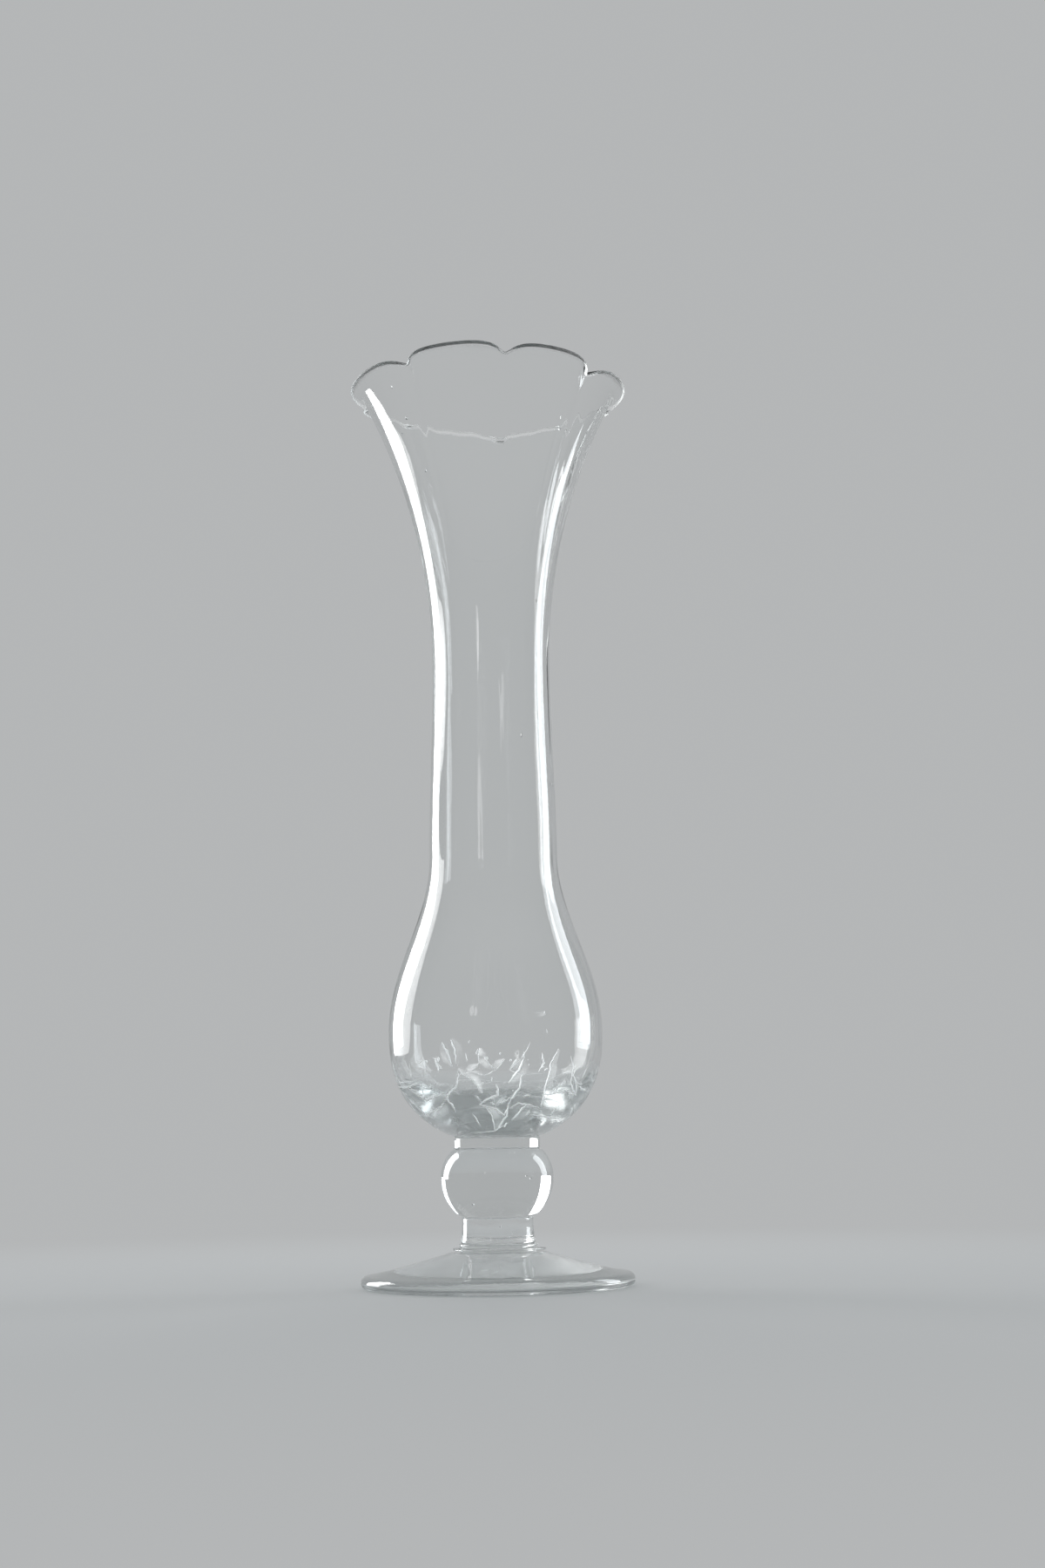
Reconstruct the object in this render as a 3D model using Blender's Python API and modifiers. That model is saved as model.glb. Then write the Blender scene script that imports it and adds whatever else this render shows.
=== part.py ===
"""A footed bud vase in clear glass, modelled as the six gathers that are joined hot to make it.

Bottom to top: a cone foot, a thin flared wafer, a short stem collar, a ball knop, an upper collar, and the
blown vessel with its bulb, slender neck and hand-crimped lip. Lengths are in metres, +Z is up, and the
origin is on the table under the middle of the foot. Each gather is drawn from its own seat, which is where
it sits on the one below, and is placed by its height.
"""

from math import acos, atan, atan2, cos, degrees, exp, floor, hypot, pi, radians, sin

import bpy

MM = 0.001

# Clearance between each gather and the one it sits on
JOINT_GAP = 0.3 * MM

# Foot: a low concave cone with a half-round edge, standing on a flat ring round a shallow dish
FOOT_RADIUS = 29.4 * MM
FOOT_EDGE_THICKNESS = 3.0 * MM
FOOT_HEIGHT = 7.5 * MM
FOOT_TOP_RADIUS = 10.3 * MM
FOOT_HOLLOWING = 1.23
STANDING_RING_WIDTH = 6.5 * MM
DISH_DEPTH = 1.2 * MM

# Wafer: the thin skirt of glass that squeezed out where the stem was stuck to the foot
WAFER_HEIGHT = 1.5 * MM
WAFER_OVERHANG = 1.75 * MM
WAFER_EDGE_THICKNESS = 0.5 * MM

# Stem collar: a short thick column that spreads a little at its foot
STEM_COLLAR_RADIUS = 7.7 * MM
STEM_COLLAR_HEIGHT = 5.1 * MM
STEM_COLLAR_SPREAD = 0.4 * MM

# Knop: a solid ball that swells out of the two collars
KNOP_HEIGHT = 14.1 * MM
KNOP_SWELL = 3.6 * MM
KNOP_ROUNDNESS = 0.8

# Upper collar: a short column under the bulb
UPPER_COLLAR_RADIUS = 9.35 * MM
UPPER_COLLAR_HEIGHT = 2.2 * MM

# Softened edge of both collars
COLLAR_EDGE_RADIUS = 0.4 * MM

# Vessel outline, with heights measured up from its seat on the upper collar
BULB_RADIUS = 23.3 * MM
BULB_HEIGHT = 22.7 * MM
BULB_FULLNESS = 2.45
NECK_BASE_RADIUS = 14.1 * MM
NECK_BASE_HEIGHT = 61.1 * MM
WAIST_RADIUS = 13.1 * MM
WAIST_HEIGHT = 103.1 * MM
TRUMPET_RADIUS = 28.4 * MM
TRUMPET_HEIGHT = 166.1 * MM
TRUMPET_FLARE = 2.1

# Lip: the wall turns outward on this radius until it leans this far from upright
LIP_TURN_RADIUS = 3.6 * MM
LIP_LEAN = radians(80)

# Glass thickness of the vessel in its wall, at its lip and in its floor
WALL_THICKNESS = 1.6 * MM
LIP_THICKNESS = 1.0 * MM
FLOOR_THICKNESS = 3.5 * MM

# Crimps that nip the lip into lobes, made by hand and all a little different. For each one: its bearing in
# degrees, from the front round to the right; its width in degrees; and how far it pushes the edge in and down.
CRIMPS = (
    (-134, 7.0, 3.0 * MM, 3.0 * MM),
    (-100, 5.0, 3.4 * MM, 1.6 * MM),
    (-39, 4.0, 3.4 * MM, 1.5 * MM),
    (8, 4.0, 3.2 * MM, 1.8 * MM),
    (52, 4.5, 3.8 * MM, 2.6 * MM),
    (105, 5.5, 3.2 * MM, 2.4 * MM),
    (139, 7.0, 2.6 * MM, 3.0 * MM),
    (174, 8.0, 2.6 * MM, 4.0 * MM),
)
CRIMP_REACH = 14.0 * MM
CRIMP_FADE = 4
CRIMP_ROUNDING = 1.5

# The lip dips by this much at its two sides, because the crimping pulled it a little out of level
LIP_DIP = 1.4 * MM

# How finely the glass is divided: round the turned gathers, across each lobe, and how much the lobe's
# columns gather at its crimps
TURNED_SEGMENTS = 48
COLUMNS_PER_LOBE = 10
COLUMN_GATHER = 0.7

# Heights of the seats
WAFER_SEAT = FOOT_HEIGHT + JOINT_GAP
STEM_COLLAR_SEAT = WAFER_SEAT + WAFER_HEIGHT + JOINT_GAP
KNOP_SEAT = STEM_COLLAR_SEAT + STEM_COLLAR_HEIGHT + JOINT_GAP
UPPER_COLLAR_SEAT = KNOP_SEAT + KNOP_HEIGHT + JOINT_GAP
VESSEL_SEAT = UPPER_COLLAR_SEAT + UPPER_COLLAR_HEIGHT + JOINT_GAP


def clear_scene():
    """Takes away whatever the file opened with."""
    for thing in list(bpy.data.objects):
        bpy.data.objects.remove(thing, do_unlink=True)


def steps(count, start=0.0, stop=1.0):
    """Evenly spaced values from start to stop, both included, with count spaces between them."""
    return [start + (stop - start) * i / count for i in range(count + 1)]


def arc(centre_r, centre_z, radius, start, stop, count):
    """Points on a circle in a profile's plane, with its angles in degrees up from the outward direction."""
    angles = steps(count, radians(start), radians(stop))
    return [(centre_r + radius * cos(a), centre_z + radius * sin(a)) for a in angles]


def glass(name, colour):
    """Clear glass for one gather, with the faint grey green that shows where glass is thick."""
    material = bpy.data.materials.new(name)
    material.use_nodes = True
    shader = material.node_tree.nodes["Principled BSDF"]
    shader.inputs["Base Color"].default_value = (*colour, 1.0)
    shader.inputs["Metallic"].default_value = 0.0
    shader.inputs["Roughness"].default_value = 0.02
    shader.inputs["IOR"].default_value = 1.5
    shader.inputs["Transmission Weight"].default_value = 1.0
    material.diffuse_color = (*colour, 0.4)
    return material


def turned(name, profile, segments):
    """An object that spins a profile about Z. The profile runs down its outer side, top to bottom."""
    mesh = bpy.data.meshes.new(name)
    points = [(r, 0.0, z) for r, z in profile]
    mesh.from_pydata(points, [(i, i + 1) for i in range(len(points) - 1)], [])
    gather = bpy.data.objects.new(name, mesh)
    spin = gather.modifiers.new("spin", "SCREW")
    spin.axis = "Z"
    spin.angle = 2 * pi
    spin.steps = segments
    spin.render_steps = segments
    spin.use_merge_vertices = True
    spin.merge_threshold = 0.01 * MM
    spin.use_smooth_shade = True
    return gather


def seat(gather, height, colour, collection, origin):
    """Puts a gather in the vase's collection, at its height above the table, in its own glass."""
    gather.data.materials.append(glass(gather.name + "_glass", colour))
    gather.location.z = height
    gather.parent = origin
    collection.objects.link(gather)


def foot_profile():
    """A concave cone, a half-round edge, the flat standing ring and the dished underside."""
    edge = FOOT_EDGE_THICKNESS / 2
    edge_centre = FOOT_RADIUS - edge
    run = edge_centre - FOOT_TOP_RADIUS
    rise = FOOT_HEIGHT - FOOT_EDGE_THICKNESS
    cone = [(edge_centre - run * t, FOOT_EDGE_THICKNESS + rise * t**FOOT_HOLLOWING) for t in steps(6, 1, 0)]
    dish_radius = edge_centre - STANDING_RING_WIDTH
    dish = [(dish_radius * t, DISH_DEPTH * (1 + cos(pi * t)) / 2) for t in steps(4, 1, 0)]
    return [(0, FOOT_HEIGHT)] + cone[:-1] + arc(edge_centre, edge, edge, 90, -90, 5) + dish


def wafer_profile():
    """A skirt that slopes from the stem collar's foot to a thin round edge, and is flat underneath."""
    edge = WAFER_EDGE_THICKNESS / 2
    inner = STEM_COLLAR_RADIUS + STEM_COLLAR_SPREAD
    outer = inner + WAFER_OVERHANG - edge
    drop = WAFER_HEIGHT - WAFER_EDGE_THICKNESS
    slope = [(inner + (outer - inner) * t, WAFER_HEIGHT - drop * sin(t * pi / 2)) for t in steps(3)]
    return [(0, WAFER_HEIGHT)] + slope[:-1] + arc(outer, edge, edge, 90, -90, 4) + [(0, 0)]


def column_profile(height, radius, spread=0.0):
    """A short column with softened edges, whose side spreads towards its foot."""
    edge = COLLAR_EDGE_RADIUS
    straight = height - 2 * edge
    side = [(radius + spread * t**3, height - edge - straight * t) for t in steps(4)]
    top = arc(radius - edge, height - edge, edge, 90, 0, 2)
    foot = arc(radius + spread - edge, edge, edge, 0, -90, 2)
    return [(0, height)] + top[:-1] + side + foot[1:] + [(0, 0)]


def knop_profile():
    """A ball that starts at the upper collar's radius, ends at the stem collar's and is flat at both."""
    taper = STEM_COLLAR_RADIUS - UPPER_COLLAR_RADIUS
    ball = []
    for turn in steps(12, 0, pi):
        t = (1 - cos(turn)) / 2
        swell = KNOP_SWELL * (4 * t * (1 - t)) ** KNOP_ROUNDNESS
        ball.append((UPPER_COLLAR_RADIUS + taper * t + swell, KNOP_HEIGHT * (1 - t)))
    return [(0, KNOP_HEIGHT)] + ball + [(0, 0)]


def trumpet_radius(height):
    """Radius of the vessel's outside from the waist up to the lip's turn."""
    t = (height - WAIST_HEIGHT) / (TRUMPET_HEIGHT - WAIST_HEIGHT)
    return WAIST_RADIUS + (TRUMPET_RADIUS - WAIST_RADIUS) * max(t, 0.0) ** TRUMPET_FLARE


def shoulder_radius(height):
    """Radius of the outside from the widest ring of the bulb up to the base of the neck."""
    t = (height - BULB_HEIGHT) / (NECK_BASE_HEIGHT - BULB_HEIGHT)
    return NECK_BASE_RADIUS + (BULB_RADIUS - NECK_BASE_RADIUS) * (1 + cos(pi * t)) / 2


def neck_radius(height):
    """Radius of the outside from the base of the neck up to the waist."""
    t = (height - NECK_BASE_HEIGHT) / (WAIST_HEIGHT - NECK_BASE_HEIGHT)
    return WAIST_RADIUS + (NECK_BASE_RADIUS - WAIST_RADIUS) * (1 + cos(pi * t)) / 2


def outer_radius(height):
    """Radius of the vessel's outside at any height between the bulb's widest ring and the lip's turn."""
    if height < NECK_BASE_HEIGHT:
        return shoulder_radius(height)
    if height < WAIST_HEIGHT:
        return neck_radius(height)
    return trumpet_radius(height)


def outer_slope(height):
    """How fast the outside widens with height."""
    nudge = 0.01 * MM
    return (outer_radius(height) - outer_radius(height - nudge)) / nudge


def wall(height):
    """Glass thickness: even up to the waist, then thinning towards the lip."""
    t = (height - WAIST_HEIGHT) / (TRUMPET_HEIGHT - WAIST_HEIGHT)
    return WALL_THICKNESS + (LIP_THICKNESS - WALL_THICKNESS) * max(t, 0.0)


def wall_heights():
    """Heights of the rings of the wall, from the lip's turn down to just above the bulb's widest ring."""
    trumpet = steps(8, TRUMPET_HEIGHT, WAIST_HEIGHT)
    neck = steps(2, WAIST_HEIGHT, NECK_BASE_HEIGHT)
    shoulder = steps(6, NECK_BASE_HEIGHT, BULB_HEIGHT)
    return trumpet[:-1] + neck[:-1] + shoulder[:-1]


def oval(radius, depth, last_turn, count):
    """The lower bulb as a full oval, from its widest ring down through last_turn radians."""
    return [
        (radius * cos(a), BULB_HEIGHT - depth * sin(a) ** (2 / BULB_FULLNESS))
        for a in steps(count, 0, last_turn)
    ]


def vessel_profile():
    """Up the inside from the middle of the floor, over the lip, and down the outside to the seat."""
    seat_turn = acos(UPPER_COLLAR_RADIUS / BULB_RADIUS)
    outer_depth = BULB_HEIGHT / sin(seat_turn) ** (2 / BULB_FULLNESS)
    inner_depth = BULB_HEIGHT - FLOOR_THICKNESS
    outer_bulb = oval(BULB_RADIUS, outer_depth, seat_turn, 7)
    inner_bulb = oval(BULB_RADIUS - WALL_THICKNESS, inner_depth, pi / 2, 7)
    outer_wall = [(outer_radius(h), h) for h in wall_heights()]
    inner_wall = []
    for radius, height in outer_wall:
        slope = outer_slope(height)
        length = hypot(1, slope)
        offset = wall(height)
        inner_wall.append((radius - offset / length, height + offset * slope / length))
    lean = atan(outer_slope(TRUMPET_HEIGHT))
    centre_r = TRUMPET_RADIUS + LIP_TURN_RADIUS * cos(lean)
    centre_z = TRUMPET_HEIGHT - LIP_TURN_RADIUS * sin(lean)
    start, stop = 180 - degrees(lean), 180 - degrees(LIP_LEAN)
    lip_outside = arc(centre_r, centre_z, LIP_TURN_RADIUS, start, stop, 3)
    lip_inside = arc(centre_r, centre_z, LIP_TURN_RADIUS + LIP_THICKNESS, start, stop, 3)
    edge = LIP_THICKNESS / 2
    edge_r = centre_r - (LIP_TURN_RADIUS + edge) * cos(LIP_LEAN)
    edge_z = centre_z + (LIP_TURN_RADIUS + edge) * sin(LIP_LEAN)
    lip_edge = arc(edge_r, edge_z, edge, stop, stop - 180, 4)
    inside = inner_bulb[::-1] + inner_wall[::-1] + lip_inside[1:-1]
    outside = lip_outside[1:-1][::-1] + outer_wall + outer_bulb
    return inside + lip_edge + outside + [(0, 0)]


def bearing_in_lobe(turn):
    """Moves a column to the bearing it has in its lobe, where the columns gather at the crimps.

    turn runs from 0 to 1 round the vase, and each lobe has the same number of columns however wide it is.
    """
    place = (turn % 1.0) * len(CRIMPS)
    lobe = min(floor(place), len(CRIMPS) - 1)
    share = place - lobe
    share -= COLUMN_GATHER * sin(2 * pi * share) / (2 * pi)
    start = CRIMPS[lobe][0]
    stop = CRIMPS[lobe + 1][0] if lobe + 1 < len(CRIMPS) else CRIMPS[0][0] + 360
    return start + (stop - start) * share


def crimp_push(bearing):
    """How far the crimps push the edge in and down at a bearing."""
    push_in = 0.0
    push_down = 0.0
    for centre, width, deepest_in, deepest_down in CRIMPS:
        away = (bearing - centre + 180) % 360 - 180
        depth = exp(-(hypot(away, CRIMP_ROUNDING) - CRIMP_ROUNDING) / width)
        push_in += depth * deepest_in
        push_down += depth * deepest_down
    return push_in, push_down


def crimp(mesh):
    """Nips the lip of the turned vessel into its lobes and slides its columns towards the crimps."""
    start = TRUMPET_HEIGHT - CRIMP_REACH
    radius_at_edge = max(hypot(v.co.x, v.co.y) for v in mesh.vertices)
    height_at_edge = max(v.co.z for v in mesh.vertices)
    reach = height_at_edge - start + radius_at_edge - TRUMPET_RADIUS
    for vertex in mesh.vertices:
        x, y, height = vertex.co
        radius = hypot(x, y)
        bearing = bearing_in_lobe(atan2(y, x) / (2 * pi))
        push_in, push_down = crimp_push(bearing)
        travel = max(height - start, 0.0) + max(radius - TRUMPET_RADIUS, 0.0)
        share = (travel / reach) ** CRIMP_FADE
        angle = radians(bearing)
        radius -= push_in * share
        height -= (push_down + LIP_DIP * sin(angle) ** 2) * share
        vertex.co = (radius * sin(angle), -radius * cos(angle), height)


def make_vessel():
    """The blown gather: a turned blank made into a mesh, whose lip is then crimped."""
    blank = turned("vessel_blank", vessel_profile(), len(CRIMPS) * COLUMNS_PER_LOBE)
    bpy.context.scene.collection.objects.link(blank)
    evaluated = blank.evaluated_get(bpy.context.evaluated_depsgraph_get())
    mesh = bpy.data.meshes.new_from_object(evaluated)
    bpy.data.objects.remove(blank)
    crimp(mesh)
    mesh.name = "vessel"
    return bpy.data.objects.new("vessel", mesh)


def build():
    clear_scene()
    collection = bpy.data.collections.new("bud_vase")
    bpy.context.scene.collection.children.link(collection)
    origin = bpy.data.objects.new("vase_on_table", None)
    collection.objects.link(origin)

    foot = turned("foot", foot_profile(), TURNED_SEGMENTS)
    seat(foot, 0.0, (0.93, 0.95, 0.95), collection, origin)

    wafer = turned("foot_wafer", wafer_profile(), TURNED_SEGMENTS)
    seat(wafer, WAFER_SEAT, (0.95, 0.97, 0.97), collection, origin)

    stem_profile = column_profile(STEM_COLLAR_HEIGHT, STEM_COLLAR_RADIUS, STEM_COLLAR_SPREAD)
    stem_collar = turned("stem_collar", stem_profile, TURNED_SEGMENTS)
    seat(stem_collar, STEM_COLLAR_SEAT, (0.94, 0.96, 0.96), collection, origin)

    knop = turned("knop", knop_profile(), TURNED_SEGMENTS)
    seat(knop, KNOP_SEAT, (0.93, 0.95, 0.95), collection, origin)

    upper_profile = column_profile(UPPER_COLLAR_HEIGHT, UPPER_COLLAR_RADIUS)
    upper_collar = turned("upper_collar", upper_profile, TURNED_SEGMENTS)
    seat(upper_collar, UPPER_COLLAR_SEAT, (0.94, 0.96, 0.96), collection, origin)

    vessel = make_vessel()
    seat(vessel, VESSEL_SEAT, (0.97, 0.98, 0.98), collection, origin)


build()
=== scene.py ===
# %% [markdown]
# # A crackled bud vase in clear glass
#
# The real vase is made hot, from six gathers of clear glass: a foot, a thin wafer, a stem collar, a ball knop, an
# upper collar and the blown vessel, whose lip is nipped into lobes with pliers. Its lower bulb was dipped in
# water while it was hot, so that the glass cracked inside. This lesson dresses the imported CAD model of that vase:
# each gather is turned on a lathe of Geometry Nodes, the lip is crimped in Python, and the cracks and bubbles are
# laid in the wall. The first step loads the CAD frame, in metres, with the table at Z = 0.

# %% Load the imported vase
from math import acos, atan, atan2, cos, degrees, exp, floor, hypot, pi, radians, sin
from random import Random

import bmesh
import bpy
from mathutils import Matrix, Vector, noise


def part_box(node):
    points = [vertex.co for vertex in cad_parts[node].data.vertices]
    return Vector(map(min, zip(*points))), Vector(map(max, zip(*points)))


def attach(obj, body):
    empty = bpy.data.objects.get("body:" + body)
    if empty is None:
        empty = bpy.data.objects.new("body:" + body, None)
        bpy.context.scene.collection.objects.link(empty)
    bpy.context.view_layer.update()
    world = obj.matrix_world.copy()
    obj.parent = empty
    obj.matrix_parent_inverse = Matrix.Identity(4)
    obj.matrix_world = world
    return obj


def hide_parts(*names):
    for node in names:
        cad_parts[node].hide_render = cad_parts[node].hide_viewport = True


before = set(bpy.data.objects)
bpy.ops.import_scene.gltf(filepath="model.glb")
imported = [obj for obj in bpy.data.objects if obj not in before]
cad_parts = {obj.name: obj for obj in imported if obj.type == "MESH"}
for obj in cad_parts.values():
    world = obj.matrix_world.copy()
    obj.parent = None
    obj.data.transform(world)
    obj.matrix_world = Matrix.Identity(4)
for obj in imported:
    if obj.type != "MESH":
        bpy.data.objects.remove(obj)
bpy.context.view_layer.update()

# %% [markdown]
# ## Camera
#
# The photograph was taken from just above the table, 0.48 m away, looking up at the vase. A camera of 50 mm on a
# sensor 36 mm high was fitted to the ellipses of the foot and the lip, and it turned out to be rolled by less
# than a degree. Its axes are worked out from the three angles, so that nothing needs a lens shift.

# %% Camera
CAMERA_PLACE = Vector((0.00016, -0.47704, 0.03018))
CAMERA_TURN = radians(0.783)
CAMERA_PITCH = radians(9.388)
CAMERA_ROLL = radians(-0.829)

forward = Vector((sin(CAMERA_TURN) * cos(CAMERA_PITCH), cos(CAMERA_TURN) * cos(CAMERA_PITCH), sin(CAMERA_PITCH)))
level = Vector((cos(CAMERA_TURN), -sin(CAMERA_TURN), 0.0))
upright = level.cross(forward)
right = level * cos(CAMERA_ROLL) + upright * sin(CAMERA_ROLL)
top = upright * cos(CAMERA_ROLL) - level * sin(CAMERA_ROLL)

camera_data = bpy.data.cameras.new("photo_camera")
camera_data.lens = 50
camera_data.sensor_width = 36
camera_data.sensor_height = 36
camera_data.clip_start = 0.01
camera_data.clip_end = 50
camera = bpy.data.objects.new("photo_camera", camera_data)
axes = Matrix((right, top, -forward)).transposed().to_4x4()
camera.matrix_world = Matrix.Translation(CAMERA_PLACE) @ axes
bpy.context.scene.collection.objects.link(camera)
bpy.context.scene.camera = camera
print("camera stands", round(-CAMERA_PLACE.y, 3), "m in front of the vase")

# %% [markdown]
# ## The sizes of the gathers
#
# These are the lengths that the CAD model was drawn with, in millimetres. Only the bulb's floor differs: it is
# 4.6 mm thick here and 3.5 mm in the CAD, and its inside has fuller corners. In the CAD the gathers stand 0.3 mm
# apart, so that each is its own solid. Real ones are fused, so here every gather reaches to the middle of that
# gap, and the discs that meet there will be clear of any shading.

# %% Sizes of the gathers
MM = 0.001

FOOT_RADIUS, FOOT_EDGE_THICKNESS, FOOT_HEIGHT = 29.4, 3.0, 7.5
FOOT_TOP_RADIUS, FOOT_HOLLOWING = 10.3, 1.23
STANDING_RING_WIDTH, DISH_DEPTH = 6.5, 1.2
STEM_COLLAR_RADIUS, STEM_COLLAR_SPREAD = 7.7, 0.4
UPPER_COLLAR_RADIUS = 9.35
KNOP_SWELL, KNOP_ROUNDNESS = 3.6, 0.8

BULB_RADIUS, BULB_HEIGHT, BULB_FULLNESS = 23.3, 22.7, 2.45
NECK_BASE_RADIUS, NECK_BASE_HEIGHT = 14.1, 61.1
WAIST_RADIUS, WAIST_HEIGHT = 13.1, 103.1
TRUMPET_RADIUS, TRUMPET_HEIGHT, TRUMPET_FLARE = 28.4, 166.1, 2.1
LIP_TURN_RADIUS, LIP_LEAN = 3.6, radians(80)
WALL_THICKNESS, LIP_THICKNESS, FLOOR_THICKNESS = 1.6, 1.0, 4.6
INNER_FULLNESS = 3.2

# Heights of the joints, each in the middle of its gap, and how far a gather stops short of one
FOOT_JOINT, WAFER_JOINT, STEM_JOINT, KNOP_JOINT, VESSEL_JOINT = 7.65, 9.45, 14.85, 29.25, 31.75
HAIR = 0.01
VESSEL_SEAT = 31.9

for node in ("foot", "foot_wafer", "stem_collar", "knop", "upper_collar", "vessel"):
    low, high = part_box(node)
    print(node, "stands from", round(low[2] / MM, 2), "to", round(high[2] / MM, 2), "mm")

# %% [markdown]
# ## Helpers for drawing an outline
#
# A turned piece is drawn as half of its section: a list of (radius, height) points in millimetres. It starts on
# the axis at the top, runs down the outer side and ends on the axis at the bottom. Even steps and arcs of a
# circle are all that these outlines need. What was shaped by hand is then moved out of true by a sum of waves.

# %% Steps, arcs and waves
def steps(count, start=0.0, stop=1.0):
    """Evenly spaced values from start to stop, both included, with count spaces between them."""
    return [start + (stop - start) * i / count for i in range(count + 1)]


def arc(centre_r, centre_z, radius, start, stop, count):
    """Points on a circle, with its angles in degrees up from the outward direction."""
    angles = steps(count, radians(start), radians(stop))
    return [(centre_r + radius * cos(a), centre_z + radius * sin(a)) for a in angles]


def blend(a, b, share):
    return a + (b - a) * share


def held(share):
    """A share held between 0 and 1."""
    return max(0.0, min(1.0, share))


def waves(turned, terms):
    """A sum of waves at an angle in radians. Each term is a height, a count round the circle and a shift."""
    return sum(height * sin(count * turned + shift) for height, count, shift in terms)


# %% [markdown]
# ## Helpers for node trees
#
# Both kinds of tree, for geometry and for shading, are built in the script. One helper adds a node with its
# settings and inputs, where an input may be a value or the output of another node. The others are short names
# for the nodes that come back again and again, and for the start and the end of a tree.

# %% Adding nodes
def add(tree, kind, inputs=None, **settings):
    made = tree.nodes.new(kind)
    for name, value in settings.items():
        setattr(made, name, value)
    for name, value in (inputs or {}).items():
        socket = made.inputs[name]
        if isinstance(value, bpy.types.NodeSocket):
            tree.links.new(value, socket)
        else:
            socket.default_value = value
    return made


def maths(tree, operation, *values):
    return add(tree, "ShaderNodeMath", dict(enumerate(values)), operation=operation).outputs[0]


def mixed(tree, share, first, second):
    """A shader between two others."""
    return add(tree, "ShaderNodeMixShader", {0: share, 1: first, 2: second}).outputs[0]


def mixed_colour(tree, share, first, second):
    return add(tree, "ShaderNodeMix", {0: share, 6: first, 7: second}, data_type="RGBA").outputs[2]


def ranged(tree, value, start, stop, low=0.0, high=1.0, **settings):
    """Maps the values from start to stop onto those from low to high."""
    return add(tree, "ShaderNodeMapRange", {
        "Value": value, "From Min": start, "From Max": stop, "To Min": low, "To Max": high,
    }, **settings).outputs[0]


def noise_field(tree, place, scale, detail, distortion=0.0):
    return add(tree, "ShaderNodeTexNoise", {
        "Vector": place, "Scale": scale, "Detail": detail, "Distortion": distortion,
    }).outputs[0]


def object_place(tree):
    return tree.nodes.new("ShaderNodeTexCoord").outputs["Object"]


# %% Starting and ending a tree
def new_group(name, kind, sockets):
    """A group with named inputs: the tree, the inputs as its nodes see them, and the inputs' identifiers."""
    tree = bpy.data.node_groups.new(name, kind)
    identifiers = {}
    for title, socket_kind, value in sockets:
        socket = tree.interface.new_socket(title, in_out="INPUT", socket_type=socket_kind)
        if value is not None:
            socket.default_value = value
        identifiers[title] = socket.identifier
    return tree, tree.nodes.new("NodeGroupInput").outputs, identifiers


def end_group(tree, kind, results):
    """Gives a group its named outputs."""
    for title in results:
        tree.interface.new_socket(title, in_out="OUTPUT", socket_type=kind)
    add(tree, "NodeGroupOutput", results)


def end_shape(tree, shape, material, smooth):
    """Ends a geometry tree in Realize Instances and Set Material."""
    real = add(tree, "GeometryNodeRealizeInstances", {"Geometry": shape}).outputs[0]
    if smooth:
        real = add(tree, "GeometryNodeSetShadeSmooth", {"Geometry": real}).outputs[0]
    finished = add(tree, "GeometryNodeSetMaterial", {"Geometry": real, "Material": material}).outputs[0]
    end_group(tree, "NodeSocketGeometry", {"Shape": finished})


def blank_tree(owner):
    """The node tree of a new material or world, with nothing in it."""
    owner.use_nodes = True
    owner.node_tree.nodes.clear()
    return owner.node_tree


# %% [markdown]
# ## A lathe
#
# All six gathers are round, so one tree turns them all. It lays out a grid with a row for each point of the
# outline and a column for each bearing, looks up the row's radius and height on the outline, and swings it round
# the axis. Merging by distance closes the seam and the two poles. Screw would do the same, but here the column
# count is a named input, and the grid's faces all point outwards from the start.

# %% The lathe's tree
lathe, lathe_in, lathe_inputs = new_group("glassworkers_lathe", "GeometryNodeTree", (
    ("Outline", "NodeSocketGeometry", None),
    ("Columns", "NodeSocketInt", 96),
    ("Merge Distance", "NodeSocketFloat", 0.002 * MM),
    ("Glass", "NodeSocketMaterial", None),
))
rows = add(lathe, "GeometryNodeAttributeDomainSize", {"Geometry": lathe_in["Outline"]}).outputs["Point Count"]
columns_and_seam = maths(lathe, "ADD", lathe_in["Columns"], 1)
grid = add(lathe, "GeometryNodeMeshGrid", {"Vertices X": rows, "Vertices Y": columns_and_seam}).outputs["Mesh"]
index = lathe.nodes.new("GeometryNodeInputIndex").outputs[0]
row = maths(lathe, "FLOOR", maths(lathe, "DIVIDE", maths(lathe, "ADD", index, 0.5), columns_and_seam))
column = maths(lathe, "SUBTRACT", index, maths(lathe, "MULTIPLY", row, columns_and_seam))
place = lathe.nodes.new("GeometryNodeInputPosition").outputs[0]
on_outline = add(lathe, "GeometryNodeSampleIndex", {
    "Geometry": lathe_in["Outline"], "Value": place, "Index": row,
}, data_type="FLOAT_VECTOR").outputs[0]
section = add(lathe, "ShaderNodeSeparateXYZ", {0: on_outline}).outputs
swing = maths(lathe, "MULTIPLY", maths(lathe, "DIVIDE", column, lathe_in["Columns"]), 2 * pi)
turned_place = add(lathe, "ShaderNodeCombineXYZ", {
    "X": maths(lathe, "MULTIPLY", section["X"], maths(lathe, "SINE", swing)),
    "Y": maths(lathe, "MULTIPLY", maths(lathe, "MULTIPLY", section["X"], -1), maths(lathe, "COSINE", swing)),
    "Z": section["Z"],
}).outputs[0]
swung = add(lathe, "GeometryNodeSetPosition", {"Geometry": grid, "Position": turned_place}).outputs[0]
joined = add(
    lathe, "GeometryNodeMergeByDistance", {"Geometry": swung, "Distance": lathe_in["Merge Distance"]}
).outputs[0]
end_shape(lathe, joined, lathe_in["Glass"], smooth=True)
print("the lathe has", len(lathe.nodes), "nodes")
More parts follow.
